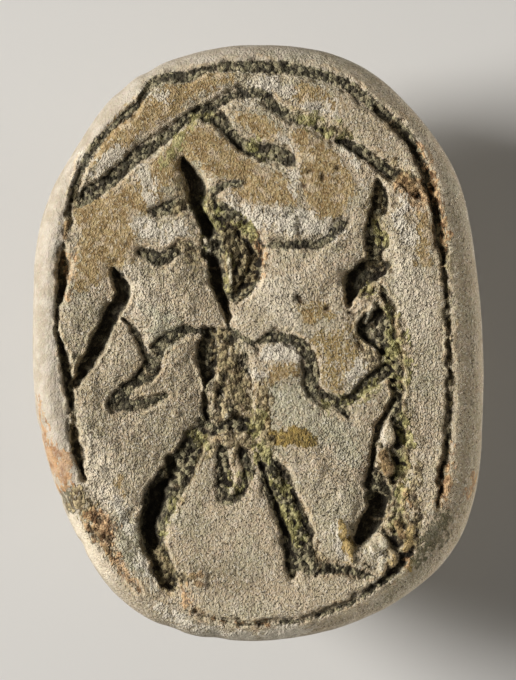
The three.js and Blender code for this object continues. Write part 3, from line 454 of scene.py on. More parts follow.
        [(4.47, -7.2, .26), (4.5, -7.35, .22)], [(5.04, -6.25, .22), (5.06, -6.4, .2)],
        [(5.04, -6.65, .24), (4.95, -6.85, .2)],
        [(4.15, -6.55, .22), (4.2, -6.7, .24)], [(3.8, -7.84, .16), (3.85, -7.92, .14)],
        [(-1.78, 3.5, .2), (-1.72, 3.35, .24)], [(-1.62, 3.1, .16), (-1.6, 3.0, .14)],
    ]),
    # Dark pits where crumbs have fallen out.
    "pit": (0.06, [
        [(1.5, 5.24, .2), (1.56, 5.2, .18)], [(1.66, 5.72, .14), (1.8, 5.72, .12)],
        [(2.14, 5.5, .12), (2.16, 5.6, .1)],
        [(2.62, 5.82, .12), (2.68, 5.82, .1)], [(1.8, 6.76, .08), (1.84, 6.74, .06)],
        [(2.04, 4.76, .06), (2.08, 4.76, .06)],
        [(1.3, 1.55, .1), (1.4, 1.4, .16)], [(2.28, 1.15, .12), (2.34, 1.15, .1)],
        [(3.05, 1.0, .14), (3.2, .95, .12)],
        [(-.5, 1.1, .06), (-.45, 1.12, .05)], [(2.0, -1.5, .1), (2.05, -1.5, .08)],
        [(-4.4, 3.3, .06), (-4.35, 3.3, .05)],
        [(-5.2, 3.7, .06), (-5.16, 3.7, .05)], [(-4.75, 2.75, .06), (-4.7, 2.78, .05)],
    ]),
}
# How a groove is cut. The wall and the shoulder are a length, and how much it grows with each millimetre
# of depth. An edge is where something starts and where it is whole, counted inwards from a groove's side.
GROOVE_SPREAD = 0.07  # how far its broken side reaches past its run
GROOVE_WALL = (0.08, 0.2)  # the width of its sloping wall
GROOVE_SHOULDER = (0.02, 0.2)  # the depth of the worn dip along it
SHOULDER_REACH = {"border": 0.15, "figure": 0.35}  # how far that dip reaches out
SHOULDER_END = 0.05
FILLING, FILLING_EDGE = 0.6, (0.04, 0.14)  # the share of the depth that a wholly crumbly filling takes up
LOOSE_EDGE, LOOSE_DEPTH, LOOSE_DROP = (0, 0.1), (0.02, 0.08), 0.02  # where granules lie, and how far down
DIRT_EDGE = (-0.14, 0.12)
LIP = {"out": 0.05, "width": 0.04, "height": 0.07}  # the fine raised edge along a groove
LIP_ENDS_AT = 0.02  # the depth of a neighbouring groove that cuts the lip off
LIP_GAPS = (-0.2, 0.3)  # the levels of the noise between which the lip comes and goes

# How deep or how high the marks on the face stand.
PIT_DEPTH = 0.08
CLOD_HEIGHT = 0.2
LUMP_HEIGHT = 0.2
RUBBLE_DEPTH = 0.02
SKIN_HEIGHT, SKIN_EDGE = 0.035, (0.4, 0.6)  # the smooth skin stands above the stone that has lost it
FACE_WEAR = 0.08  # how far the face lies below the solid's, so that what stands up stays inside it
UNEVEN_FROM = 0.2  # the softness from which a patch's edge is as uneven as its roughness says
# The share of the roughness that is missing on the skin and on the rim.
SKIN_SMOOTHS, RIM_SMOOTHS, RIM_SWELL_SMOOTHS = 0.4, 0.8, 8 / 9

# Kinds of roughness: the size of the largest lumps, how high they stand, a seed, and how many octaves.
ROUGHNESS = {
    "groove's edge": (0.5, 0.13, 11, 2), "groove's fine edge": (0.2, 0.1, 12, 2),
    "granules": (0.2, 0.12, 13, 3), "gaps in the lip": (0.7, 1, 14, 3),
    "patch's edge": (0.7, 0.18, 31, 3), "patch's fine edge": (0.25, 0.08, 33, 3),
    "rim's edge": (0.5, 0.1, 32, 3),
    "wide swell": (2.6, 0.05, 21, 3), "swell": (0.9, 0.045, 22, 3),
    "grit": (0.3, 0.02, 25, 2), "sand": (0.14, 0.012, 23, 2), "dimples": (0.45, 0.025, 44, 2),
    "coarse": (0.5, 0.07, 42, 2), "coarse grit": (0.25, 0.035, 43, 2),
    "crust": (0.3, 0.05, 26, 2), "rubble": (0.3, 0.1, 24, 3),
    "back line's edge": (0.4, 0.03, 41, 3), "back's swell": (1.5, 0.02, 42, 3),
    "back's grit": (0.4, 0.015, 43, 3),
    "side's swell": (1.8, 0.02, 51, 3), "side's grit": (0.4, 0.012, 52, 3),
    "hole's wall": (0.6, 0.02, 61, 3),
}
# The noise's grid stands askew to the axes, and large odd numbers scatter its cells.
ASKEW = np.array([[.8, .36, -.48], [-.6, .48, -.64], [0, .8, .6]])
CELL_SCATTER, SEED_SCATTER = (73856093, 19349663, 83492791), 2654435761
BIT_MIXING = ((13, 1274126177), (15, 2246822519))
WORD = 0xFFFFFFFF


# ---------------------------------------------------------------- numbers on the stone's surface

def smooth(low, high, value):
    """0 below low, 1 above high, and an even curve between."""
    share = np.clip((value - low) / (high - low), 0, 1)
    return share * share * (3 - 2 * share)


def hashed(cells, seed):
    """An even random number from 0 to 1 for each whole-numbered cell."""
    mixed = seed * SEED_SCATTER
    for axis, factor in enumerate(CELL_SCATTER):
        mixed = mixed ^ cells[:, axis] * factor
    for shift, factor in BIT_MIXING:
        mixed = (mixed ^ (mixed >> shift)) * factor & WORD
    return (mixed ^ (mixed >> 16)) / WORD


def lumps(points, size, seed):
    """Smooth noise from -1 to 1, with lumps of one size."""
    turned = points @ ASKEW / size
    cells = np.floor(turned).astype(np.int64)
    part = turned - cells
    part = part * part * (3 - 2 * part)
    total = np.zeros(len(points))
    for corner in itertools.product((0, 1), repeat=3):
        weight = np.prod(np.where(corner, part, 1 - part), axis=1)
        total += weight * hashed(cells + corner, seed)
    return 2 * total - 1


def rough(points, kind):
    """Lumps of halving size and strength, about as high as the kind of roughness stands."""
    size, height, seed, octaves = ROUGHNESS[kind]
    layers = [lumps(points, size / 2**i, seed + i) / 2**i for i in range(octaves)]
    return height * sum(layers) / sum(0.5**i for i in range(octaves))


def outline_radius(bearing):
    """The oval's radius at a bearing in radians, counted from +X towards +Y."""
    across, along = np.cos(bearing), np.sin(bearing)
    n = np.where(along >= 0,
                 np.where(across >= 0, SQUARENESS["head right"], SQUARENESS["head left"]),
                 np.where(across >= 0, SQUARENESS["tail right"], SQUARENESS["tail left"]))
    radius = (np.abs(2 * across / WIDTH_WHOLE)**n + np.abs(2 * along / LENGTH_WHOLE)**n)**(-1 / n)
    for middle, reach, depth in WORN_FLATS + EDGE_CHIPS:
        away = (np.degrees(bearing) - middle + 180) % 360 - 180
        radius = radius - np.where(
            np.abs(away) < reach, depth * (1 + np.cos(np.pi * away / reach)) / 2, 0)
    return radius


def edge_width(bearing):
    """How far the rounded edge reaches in from the outline."""
    widest, narrowest = EDGE_WIDTH
    return narrowest + (widest - narrowest) * (1 + np.cos(bearing - WIDEST_AT)) / 2


def border_gap(bearing):
    """How far the border line lies in from the outline."""
    line = np.vstack([curve_through(run) for name, (*_, run) in GROOVES.items() if "border" in name])
    at = np.arctan2(line[:, 1], line[:, 0])
    gap = outline_radius(at) - np.hypot(line[:, 0], line[:, 1]) - line[:, 2] / 2
    order = np.argsort(at)
    return np.interp(bearing, at[order], gap[order], period=2 * np.pi)


def curve_through(run, steps=5):
    """Points on a smooth curve through a run."""
    knots = np.array([run[0], *run, run[-1]], dtype=float)
    share = np.arange(steps)[:, None] / steps
    pieces = []
    for before, start, end, after in zip(knots, knots[1:], knots[2:], knots[3:]):
        pieces.append(0.5 * (
            2 * start + (end - before) * share
            + (2 * before - 5 * start + 4 * end - after) * share**2
            + (3 * start - before - 3 * end + after) * share**3))
    return np.vstack([*pieces, knots[-1:]])


def inside(plan, run, margin=0.6):
    """How far each point of the plan lies inside a run's edge: negative outside, and -margin far outside."""
    path = curve_through(run)
    depth = np.full(len(plan), -margin)
    reach = path[:, 2].max() / 2 + margin
    low, high = path[:, :2].min(axis=0) - reach, path[:, :2].max(axis=0) + reach
    near = np.flatnonzero(np.all((plan > low) & (plan < high), axis=1))
    spot = plan[near]
    best = np.full(len(near), -margin)
    for start, end in zip(path, path[1:]):
        step = end[:2] - start[:2]
        share = np.clip((spot - start[:2]) @ step / max(step @ step, 1e-9), 0, 1)
        gap = np.linalg.norm(spot - start[:2] - share[:, None] * step, axis=1)
        best = np.maximum(best, (start[2] + share * (end[2] - start[2])) / 2 - gap)
    depth[near] = best
    return depth


def cover(plan, runs, points, softness):
    """How fully any of the runs covers each point, falling off evenly across an uneven edge."""
    edge = np.max([inside(plan, run) for run in runs], axis=0)
    uneven = rough(points, "patch's edge") + rough(points, "patch's fine edge")
    return smooth(-softness, softness, edge + min(softness / UNEVEN_FROM, 1) * uneven)


def engraving(plan, points):
    """Depth and dirt of the grooves over the plan, and the lips along their edges."""
    ragged = GROOVE_SPREAD + rough(points, "groove's edge") + rough(points, "groove's fine edge")
    depth, dirt, loose, dip, lip = np.zeros((5, len(plan)))
    for name, (deep, dark, crumbly, run) in GROOVES.items():
        reach = SHOULDER_REACH["border" if "border" in name else "figure"]
        wall, shoulder = (base + growth * deep for base, growth in (GROOVE_WALL, GROOVE_SHOULDER))
        clear = inside(plan, run)
        within = clear + ragged
        filling = FILLING * crumbly * smooth(*FILLING_EDGE, within)
        cut = deep * (1 - (1 - np.clip(within / wall, 0, 1))**2) * (1 - filling)
        loose = np.where(cut > depth, crumbly * smooth(*LOOSE_EDGE, within), loose)
        depth = np.maximum(depth, cut)
        dip = np.maximum(dip, shoulder * smooth(-reach, SHOULDER_END, within))
        lip = np.maximum(lip, np.exp(-((within + LIP["out"]) / LIP["width"])**2) * (depth < LIP_ENDS_AT))
        dirt = np.maximum(dirt, dark * smooth(*DIRT_EDGE, clear))
    depth = depth - loose * (LOOSE_DROP + rough(points, "granules")) * smooth(*LOOSE_DEPTH, depth)
    lip = lip * smooth(*LIP_GAPS, rough(points, "gaps in the lip"))
    return np.maximum(depth, 0) + dip - LIP["height"] * lip, dirt, lip


# ---------------------------------------------------------------- the face

def disc_of_rings(count):
    """Ring number and bearing of each point of a disc of rings, 6 more points in each, and its triangles."""
    rings, bearings, triangles = [np.zeros(1)], [np.zeros(1)], []
    inner_start, outer_start = 0, 1
    for ring in range(1, count + 1):
        i = np.arange(6 * ring)
        rings.append(np.full(6 * ring, ring))
        bearings.append(2 * np.pi * i / (6 * ring))
        sector, step = i // ring, i % ring
        inner_count = max(6 * (ring - 1), 1)
        inner = inner_start + (sector * (ring - 1) + step) % inner_count
        inner_next = inner_start + (sector * (ring - 1) + step + 1) % inner_count
        outer, outer_next = outer_start + i, outer_start + (i + 1) % (6 * ring)
        triangles.append(np.stack([inner, outer, outer_next], axis=1))
        between = step < ring - 1
        triangles.append(np.stack([inner, outer_next, inner_next], axis=1)[between])
        inner_start, outer_start = outer_start, outer_start + 6 * ring
    return np.concatenate(rings), np.concatenate(bearings), np.concatenate(triangles)


def face_points(ring, bearing):
    """The engraved face and its rounded edge, out to the oval's outline."""
    flat_rings = FACE_RINGS - EDGE_RINGS
    turn = np.pi / 2 * np.clip((ring - flat_rings) / EDGE_RINGS, 0, 1)
    reach = np.where(ring <= flat_rings,
                     (outline_radius(bearing) - edge_width(bearing)) * ring / flat_rings,
                     outline_radius(bearing) - edge_width(bearing) * (1 - np.sin(turn)))
    rise = EDGE_DROP * (1 - np.cos(turn))
    plan = np.stack([reach * np.cos(bearing), reach * np.sin(bearing)], axis=1)
    points = np.column_stack([plan, HEIGHT - rise])
    marks = surface_marks(points)
    sunk = face_relief(points, marks)
    points[:, 2] -= np.maximum(sunk * np.cos(turn), 0)
    points[:, :2] -= plan / reach.clip(0.01)[:, None] * (np.maximum(sunk, 0) * np.sin(turn))[:, None]
    return points


def face_relief(points, marks):
    """How deep each point of the face lies below the whole, unworn face."""
    skin, rim = marks["skin"], marks["rim"]
    bare = (1 - SKIN_SMOOTHS * skin) * (1 - RIM_SMOOTHS * rim)
    swells = rough(points, "wide swell") + (1 - RIM_SWELL_SMOOTHS * rim) * rough(points, "swell")
    grain = bare * sum(rough(points, kind) for kind in ("grit", "sand", "dimples"))
    weathered = bare * marks["coarse"] * (rough(points, "coarse") + rough(points, "coarse grit"))
    heaps = (marks["crust"] * rough(points, "crust")
             + marks["rubble"] * (rough(points, "rubble") - RUBBLE_DEPTH))
    lost_skin = SKIN_HEIGHT * (1 - smooth(*SKIN_EDGE, skin)) * (1 - rim)
    return (
        FACE_WEAR + marks["depth"] + PIT_DEPTH * marks["pit"] + lost_skin
        - swells - grain - weathered - heaps
        - CLOD_HEIGHT * marks["clod"] - LUMP_HEIGHT * marks["lump"])


def surface_marks(points):
    """Every mark on the stone, from 0 to 1 over its points, and the engraving's depth."""
    plan = points[:, :2]
    on_face = 1 - smooth(*FACE_FADE, HEIGHT - points[:, 2])
    depth, dirt, lip = engraving(plan, points)
    bearing = np.arctan2(plan[:, 1], plan[:, 0])
    from_edge = outline_radius(bearing) - np.hypot(plan[:, 0], plan[:, 1])
    smoothest = smooth(*SMOOTH_SPREAD, np.cos(bearing - SMOOTHEST_AT))
    worn_smooth = LEAST_SMOOTH + (1 - LEAST_SMOOTH) * smoothest
    rim = 1 - smooth(*RIM_EDGE, from_edge - border_gap(bearing) + rough(points, "rim's edge"))
    marks = {"depth": depth, "dirt": dirt, "lip": lip}
    for name, (softness, runs) in PATCHES.items():
        marks[name] = cover(plan, runs, points, softness)
    marks = {name: value * on_face for name, value in marks.items()}
    marks["rim"] = np.maximum(rim * worn_smooth, 1 - on_face)
    marks["side"] = 1 - on_face
    return marks


# ---------------------------------------------------------------- the beetle

# Mounds: centre along Y, half sizes, rise of the root and of the crest, squareness in plan and in height.
MOUNDS = {
    "flanks": (0, (6.5, 9.2), 1.5, 5.1, 2.35, 5),
    "wing cases": (-1.3, (6.0, 7.4), 2.0, HEIGHT + 0.2, 2.2, 2.4),
    "thorax": (3.4, (5.7, 3.7), 2.0, 7.9, 2.4, 2.4),
    "head": (6.7, (2.9, 2.1), 2.0, 6.5, 2.2, 2.2),
    "face plate": (7.9, (2.3, 1.5), 3.9, 5.5, 2.2, 2),
}
# The face plate's front edge is toothed.
TEETH = {"face plate": 12}
TOOTH_DEPTH = 0.05  # as a share of the plate's size
# Legs of the right side, as points (x, y, rise) along their middle; the left side mirrors them.
LEGS = (
    ((6.2, 2.7, 4.7), (5.9, 4.9, 3.9), (4.6, 7.1, 3.4), (2.5, 8.7, 3.1)),
    ((6.2, 2.1, 4.5), (6.5, -0.2, 4.0), (6.5, -2.8, 3.4), (6.1, -4.5, 3.0)),
    ((6.1, -1.0, 4.7), (6.0, -4.0, 4.1), (4.8, -6.8, 3.5), (2.5, -8.6, 3.0)),
)
LEG_RADIUS = 0.6
LEG_END, LEG_TAPER = 0.6, 0.6  # the share of the radius that is left at a leg's ends, and how it gets there
EYE, EYE_RADIUS = (2.35, 6.9, 4.9), 0.75
MOUND_SLOPE = 0.9  # how fast a mound's field grows, against the true distance
FILLET = 0.16  # between the beetle's parts
# Lines cut into the beetle's back, as runs, above the rises between which they fade in.
BACK_LINES = {
    "wing seam": [(0, 2.9, .34), (0, -.5, .4), (0, -4, .4), (0, -7.6, .24)],
    "thorax line": [(-5.4, 3.8, .25), (-3, 2.95, .4), (0, 2.75, .42), (3, 2.95, .4), (5.4, 3.8, .25)],
    "left notch": [(-4.3, 3.2, .4), (-3.9, 2.2, .5), (-3.5, 1.3, .15)],
    "right notch": [(4.3, 3.2, .4), (3.9, 2.2, .5), (3.5, 1.3, .15)],
    "neck line": [(-3.0, 6.6, .2), (-1.5, 6.45, .3), (0, 6.4, .3), (1.5, 6.45, .3), (3.0, 6.6, .2)],
}
BACK_LINE_DEPTH, BACK_LINE_EDGE, BACK_LINE_FADE = 0.26, (-0.08, 0.18), (4.4, 5.2)
BACK_WEAR, SIDE_WEAR = 0.02, 0.03
HOLE_RISE = 3.25
# The cord hole was drilled from both ends, so it is narrowest in the middle, and its mouths are worn wider.
HOLE_RADIUS = 0.85
HOLE_WAIST, HOLE_WAIST_REACH = 0.06, 3  # the share by which it is narrower, and how far from the middle
HOLE_MOUTH, HOLE_MOUTH_REACH = 0.14, (8.2, 9.6)  # the share by which it widens, and between where

# How the back is found along rays: shares of a ray, and how often each round is made.
RAY_START = 1.1
RAY_LENGTH = 1.05  # of the ray straight through the back, in heights of the back
MARCH_STEP, MARCH_STEPS = 0.015, 60
HALVINGS = 10
EVENINGS = 3


def mound_field(x, y, rise, mound, teeth=0):
    """About how far a point lies from a mound's surface, negative inside."""
    middle, half, root, crest, plan, swell = mound
    out = (np.abs(x / half[0])**plan + np.abs((y - middle) / half[1])**plan)**(1 / plan)
    if teeth:
        out = out * (1 - TOOTH_DEPTH * np.cos(teeth * np.arctan2((y - middle) / half[1], x / half[0])))
    up = np.clip((rise - root) / (crest - root), 0, None)
    return ((out**swell + up**swell)**(1 / swell) - 1) * min(*half, crest - root) * MOUND_SLOPE


def rod_field(x, y, rise, path, radius):
    """Distance to a pair of round rods along a path and its mirror image, thinner at their ends."""
    here = np.stack([np.abs(x), y, rise], axis=-1)
    knots = curve_through(path, 4)
    best = np.full(x.shape, np.inf)
    for i, (start, end) in enumerate(zip(knots, knots[1:])):
        step = end - start
        share = np.clip((here - start) @ step / (step @ step), 0, 1)
        gap = np.linalg.norm(here - start - share[..., None] * step, axis=-1)
        along = np.pi * (i + share) / (len(knots) - 1)
        best = np.minimum(best, gap - radius * (LEG_END + (1 - LEG_END) * np.sin(along)**LEG_TAPER))
    return best


def joined(fields, blend):
    """The union of fields, with fillets of about the blend's size."""
    whole = fields[0]
    for field in fields[1:]:
        mix = np.clip(0.5 + 0.5 * (whole - field) / blend, 0, 1)
        whole = whole * (1 - mix) + field * mix - blend * mix * (1 - mix)
    return whole


def beetle_field(x, y, rise):
    """The beetle above its base plate, negative inside."""
    mounds = [mound_field(x, y, rise, mound, TEETH.get(name, 0)) for name, mound in MOUNDS.items()]
    eyes = np.sqrt((np.abs(x) - EYE[0])**2 + (y - EYE[1])**2 + (rise - EYE[2])**2) - EYE_RADIUS
    legs = [rod_field(x, y, rise, path, LEG_RADIUS) for path in LEGS]
    return joined([*mounds, eyes, *legs], FILLET)


def back_points(ring, bearing):
    """Points on the beetle's back, found along rays that spread from the middle of the plate."""
    turn = np.pi / 2 * ring / BACK_RINGS
    ray = np.stack([
        WIDTH_WHOLE / 2 * np.cos(bearing) * np.sin(turn),
        LENGTH_WHOLE / 2 * np.sin(bearing) * np.sin(turn),
        (HEIGHT - PLATE_THICKNESS) * RAY_LENGTH * np.cos(turn),
    ], axis=1)

    def solid(share):
        spot = ray * share[:, None]
        return beetle_field(spot[:, 0], spot[:, 1], spot[:, 2] + PLATE_THICKNESS) < 0

    high = np.full(len(ray), RAY_START)
    found = np.zeros(len(ray), dtype=bool)
    for _ in range(MARCH_STEPS):
        ahead = high - MARCH_STEP
        found |= solid(ahead)
        high = np.where(found, high, ahead)
    low = high - MARCH_STEP
    for _ in range(HALVINGS):
        middle = (low + high) / 2
        is_solid = solid(middle)
        low, high = np.where(is_solid, middle, low), np.where(is_solid, high, middle)
    for number in range(3, BACK_RINGS + 1):
        this_ring = ring == number
        for _ in range(EVENINGS):
            share = low[this_ring]
            low[this_ring] = (np.roll(share, 1) + 2 * share + np.roll(share, -1)) / 4
    found_at = ray * low[:, None]
    points = found_at + [0, 0, PLATE_THICKNESS]
    points[:, 2] = np.minimum(points[:, 2], HEIGHT)
    line = np.max([inside(points[:, :2], run) for run in BACK_LINES.values()], axis=0)
    line = smooth(*BACK_LINE_EDGE, line + rough(points, "back line's edge"))
    line = line * smooth(*BACK_LINE_FADE, points[:, 2])
    sunk = BACK_LINE_DEPTH * line + BACK_WEAR + rough(points, "back's swell") + rough(points, "back's grit")
    points -= found_at * (sunk / np.linalg.norm(found_at, axis=1))[:, None]
    points[:, 2] = np.maximum(HEIGHT - points[:, 2], 0)
    return points


def side_points(count):
    """Rings of the plate's side, from below its rounded edge round to its underside."""
    bearing = 2 * np.pi * np.arange(count) / count
    rings = []
    for inset, rise in PLATE_SIDE:
        reach = outline_radius(bearing) - inset
        ring = np.column_stack([reach * np.cos(bearing), reach * np.sin(bearing),
                                np.full(count, HEIGHT - rise)])
        wear = SIDE_WEAR + rough(ring, "side's swell") + rough(ring, "side's grit")
        ring[:, :2] *= (1 - wear / reach)[:, None]
        rings.append(ring)
    return rings


def band(upper, lower):
    """Triangles between two rings of equal counts, the upper one first."""
    upper_next, lower_next = np.roll(upper, -1), np.roll(lower, -1)
    return np.concatenate([
        np.stack([upper, lower, upper_next], axis=1), np.stack([upper_next, lower, lower_next], axis=1)])


def halving_band(upper, lower):
    """Triangles from a ring down to one with half its points."""
    left, middle, right = upper[0::2], upper[1::2], np.roll(upper[0::2], -1)
    below, below_next = lower, np.roll(lower, -1)
    return np.concatenate([
        np.stack([left, below, middle], axis=1), np.stack([middle, below, below_next], axis=1),
        np.stack([middle, below_next, right], axis=1)])


def stone_mesh():
    """The whole amulet but its cord hole: points in millimetres, and triangles."""
    ring, bearing, face_triangles = disc_of_rings(FACE_RINGS)
    points, triangles = [face_points(ring, bearing)], [face_triangles]
    upper = np.flatnonzero(ring == FACE_RINGS)
    count = len(ring)
    for i, side in enumerate(side_points(6 * BACK_RINGS)):
        lower = count + np.arange(len(side))
        triangles.append(band(upper, lower) if i else halving_band(upper, lower))
        points.append(side)
        upper, count = lower, count + len(side)
    ring, bearing, back_triangles = disc_of_rings(BACK_RINGS)
    points.append(back_points(ring, bearing))
    triangles.append(band(upper, count + np.flatnonzero(ring == BACK_RINGS)))
    triangles.append(count + back_triangles[:, ::-1])
    return np.vstack(points), np.vstack(triangles)


def mesh_object(name, points, triangles):
    """A Blender object from points in millimetres."""
    mesh = bpy.data.meshes.new(name)
    mesh.from_pydata((points * METRES).tolist(), [], triangles.tolist())
    mesh.validate()
    piece = bpy.data.objects.new(name, mesh)
    bpy.context.scene.collection.objects.link(piece)
    return piece


def hole_cutter():
    """The cord hole as a solid that runs out past both ends of the amulet."""
    sides, steps, overshoot = 40, 90, 0.5
    end = LENGTH_WHOLE / 2 + overshoot
    along = np.linspace(-end, end, steps)
    turn = 2 * np.pi * np.arange(sides) / sides
    y, turn = np.repeat(along, sides), np.tile(turn, steps)
    spot = np.column_stack([np.cos(turn), y, np.sin(turn)])
    widening = (HOLE_MOUTH * smooth(*HOLE_MOUTH_REACH, np.abs(y))
                - HOLE_WAIST * (1 - smooth(0, HOLE_WAIST_REACH, np.abs(y))))
    radius = HOLE_RADIUS * (1 + widening) + rough(spot, "hole's wall")
    level = HEIGHT - HOLE_RISE
    points = np.column_stack([radius * np.cos(turn), y, level + radius * np.sin(turn)])
    grid = np.arange(sides * steps).reshape(steps, sides)
    triangles = [band(grid[i], grid[i + 1]) for i in range(steps - 1)]
    caps = len(points) + np.arange(2)
    triangles.append(np.stack([np.full(sides, caps[0]), grid[0], np.roll(grid[0], -1)], axis=1))
    triangles.append(np.stack([np.full(sides, caps[1]), np.roll(grid[-1], -1), grid[-1]], axis=1))
    ends = [[0, -end, level], [0, end, level]]
    return mesh_object("hole_cutter", np.vstack([points, ends]), np.vstack(triangles))


def drill(stone):
    """Cuts the cord hole through the stone."""
    cutter = hole_cutter()
    cut = stone.modifiers.new("cord hole", "BOOLEAN")
    cut.operation, cut.solver, cut.object = "DIFFERENCE", "MANIFOLD", cutter
    drilled = bpy.data.meshes.new_from_object(stone.evaluated_get(bpy.context.evaluated_depsgraph_get()))
    stone.modifiers.clear()
    stone.data = drilled
    bpy.data.objects.remove(cutter)


def mark_surface(stone):
    """Stores every mark of the surface on the mesh's points, for the finish to read."""
    mesh = stone.data
    points = np.empty(len(mesh.vertices) * 3)
    mesh.vertices.foreach_get("co", points)
    points = points.reshape(-1, 3) / METRES
    marks = surface_marks(points)
    marks["hollow"] = hollows(mesh, points)
    for name, values in marks.items():
        layer = mesh.attributes.new(name, "FLOAT", "POINT")
        layer.data.foreach_set("value", values.astype(np.float32))


def hollows(mesh, points, contrast=0.8, evenings=3):
    """How hollow the surface is at each point: 0.5 where flat, 1 deep in a crease, 0 on a sharp edge."""
    edges = np.empty(len(mesh.edges) * 2, dtype=np.int64)
    mesh.edges.foreach_get("vertices", edges)
    start, end = edges.reshape(-1, 2).T
    normals = np.empty(len(points) * 3)
    mesh.vertices.foreach_get("normal", normals)
    normals = normals.reshape(-1, 3)
    count = np.bincount(start, minlength=len(points)) + np.bincount(end, minlength=len(points))

    def spread(values):
        return (np.bincount(start, values[end], len(points))
                + np.bincount(end, values[start], len(points))) / np.maximum(count, 1)

    gap = np.stack([spread(points[:, axis]) for axis in range(3)], axis=1) - points
    bend = np.einsum("ij,ij->i", gap, normals) / np.maximum(np.linalg.norm(gap, axis=1), 0.01)
    for _ in range(evenings):
        bend = 0.5 * bend + 0.5 * spread(bend)
    return np.clip(0.5 + contrast * bend, 0, 1)


# ---------------------------------------------------------------- the finish

# Plain colours, on the everyday 0 to 255 scale.
COLOURS = {
    "sandy stone": (204, 186, 156), "pale stone": (212, 200, 178), "brown stone": (142, 128, 99),
    "dull stone": (136, 122, 94), "clean stone and painted light": (228, 215, 190), "bloom": (176, 176, 150),
    "film": (150, 126, 74), "crust": (228, 219, 200), "sand": (234, 225, 206), "gaps": (124, 107, 78),
    "pores": (60, 48, 32), "flecks": (240, 232, 214), "worn tan": (206, 188, 160),
    "tan sand": (210, 189, 146), "tan flecks": (232, 222, 198), "tan gaps": (126, 98, 56),
    "tan pores": (76, 50, 24), "soil": (74, 72, 46), "deep dirt and painted shade": (24, 20, 13),
    "yellow lump": (190, 165, 112), "side's dirt and painted shade": (118, 104, 78), "hollows": (38, 32, 22),
    "pits": (70, 48, 28),
}
# Colours that vary from one shade to another.
SHADES = {
    "stone": ((190, 172, 144), (186, 176, 148)), "rim": ((168, 158, 142), (185, 176, 162)),
    "tan": ((138, 112, 67), (172, 148, 102)), "rust": ((138, 98, 60), (182, 142, 100)),
    "rusty crumbs": ((128, 90, 58), (214, 178, 134)), "ochre": ((98, 78, 28), (170, 142, 72)),
    "rubble": ((84, 68, 40), (190, 172, 132)), "grime_and_deep_shade": ((50, 46, 33), (160, 151, 120)),
    "umber": ((68, 57, 37), (166, 150, 112)), "moss": ((108, 102, 56), (198, 190, 132)),
    "clod": ((84, 62, 36), (166, 138, 98)), "chalk": ((168, 154, 124), (220, 212, 190)),
    "lip": ((226, 212, 180), (204, 176, 134)),
}
BUMP_HEIGHT = 0.085


class Value:
    """A shader value. An expression on values adds the Math nodes that work it out."""

    def __init__(self, finish, socket):
        self.finish, self.socket = finish, socket

    def maths(self, operation, *values):
        return self.finish.node("ShaderNodeMath", {"operation": operation}, dict(enumerate(values)))

    def __add__(self, other):
        return self.maths("ADD", self, other)

    def __sub__(self, other):
        return self.maths("SUBTRACT", self, other)

    def __rsub__(self, other):
        return self.maths("SUBTRACT", other, self)

    def __mul__(self, other):
        return self.maths("MULTIPLY", self, other)

    __radd__, __rmul__ = __add__, __mul__

    def between(self, low, high):
        """0 below low, 1 above high."""
        return self.finish.node("ShaderNodeMapRange", {"interpolation_type": "SMOOTHSTEP"},
                                {"Value": self, "From Min": low, "From Max": high})


class Finish:
    """A material under construction."""

    def __init__(self, name):
        self.material = bpy.data.materials.new(name)
        self.material.use_nodes = True
        self.nodes, self.links = self.material.node_tree.nodes, self.material.node_tree.links
        self.shader = self.nodes["Principled BSDF"]

    def node(self, kind, settings=None, sockets=None, output=0):
        """Adds a node: its settings first, then the values or links of its sockets."""
        node = self.nodes.new(kind)
        for name, setting in (settings or {}).items():
            setattr(node, name, setting)
        for name, value in (sockets or {}).items():
            self.feed(node.inputs[name], value)
        return Value(self, node.outputs[output])

    def feed(self, socket, value):
        """Links a value to a socket, or sets the socket to a number or a colour."""
        if isinstance(value, Value):
            self.links.new(value.socket, socket)
        else:
            socket.default_value = value

    def mix(self, share, below, above, blend="MIX"):
        """The colour above laid over the one below."""
        return self.node("ShaderNodeMix", {"data_type": "RGBA", "blend_type": blend},
                         {0: share, 6: below, 7: above}, 2)

    def shades(self, share, name):
        """A colour that goes from the first of its two shades to the second."""
        return self.mix(share, *(colour(*shade) for shade in SHADES[name]))

    def laid(self, base, layers):
        """Layers over a base colour: how much of each one shows, and its colour or the colour's name."""
        for share, shade in layers:
            base = self.mix(share, base, colour(*COLOURS[shade]) if isinstance(shade, str) else shade)
        return base

    def mark(self, name):
        """A mark stored on the mesh's points."""
        return self.node("ShaderNodeAttribute", {"attribute_name": name}, output="Fac")


def colour(red, green, blue):
    """A linear colour from the everyday 0 to 255 scale."""
    def linear(level):
        share = level / 255
        return share / 12.92 if share <= 0.04045 else ((share + 0.055) / 1.055)**2.4
    return (linear(red), linear(green), linear(blue), 1)


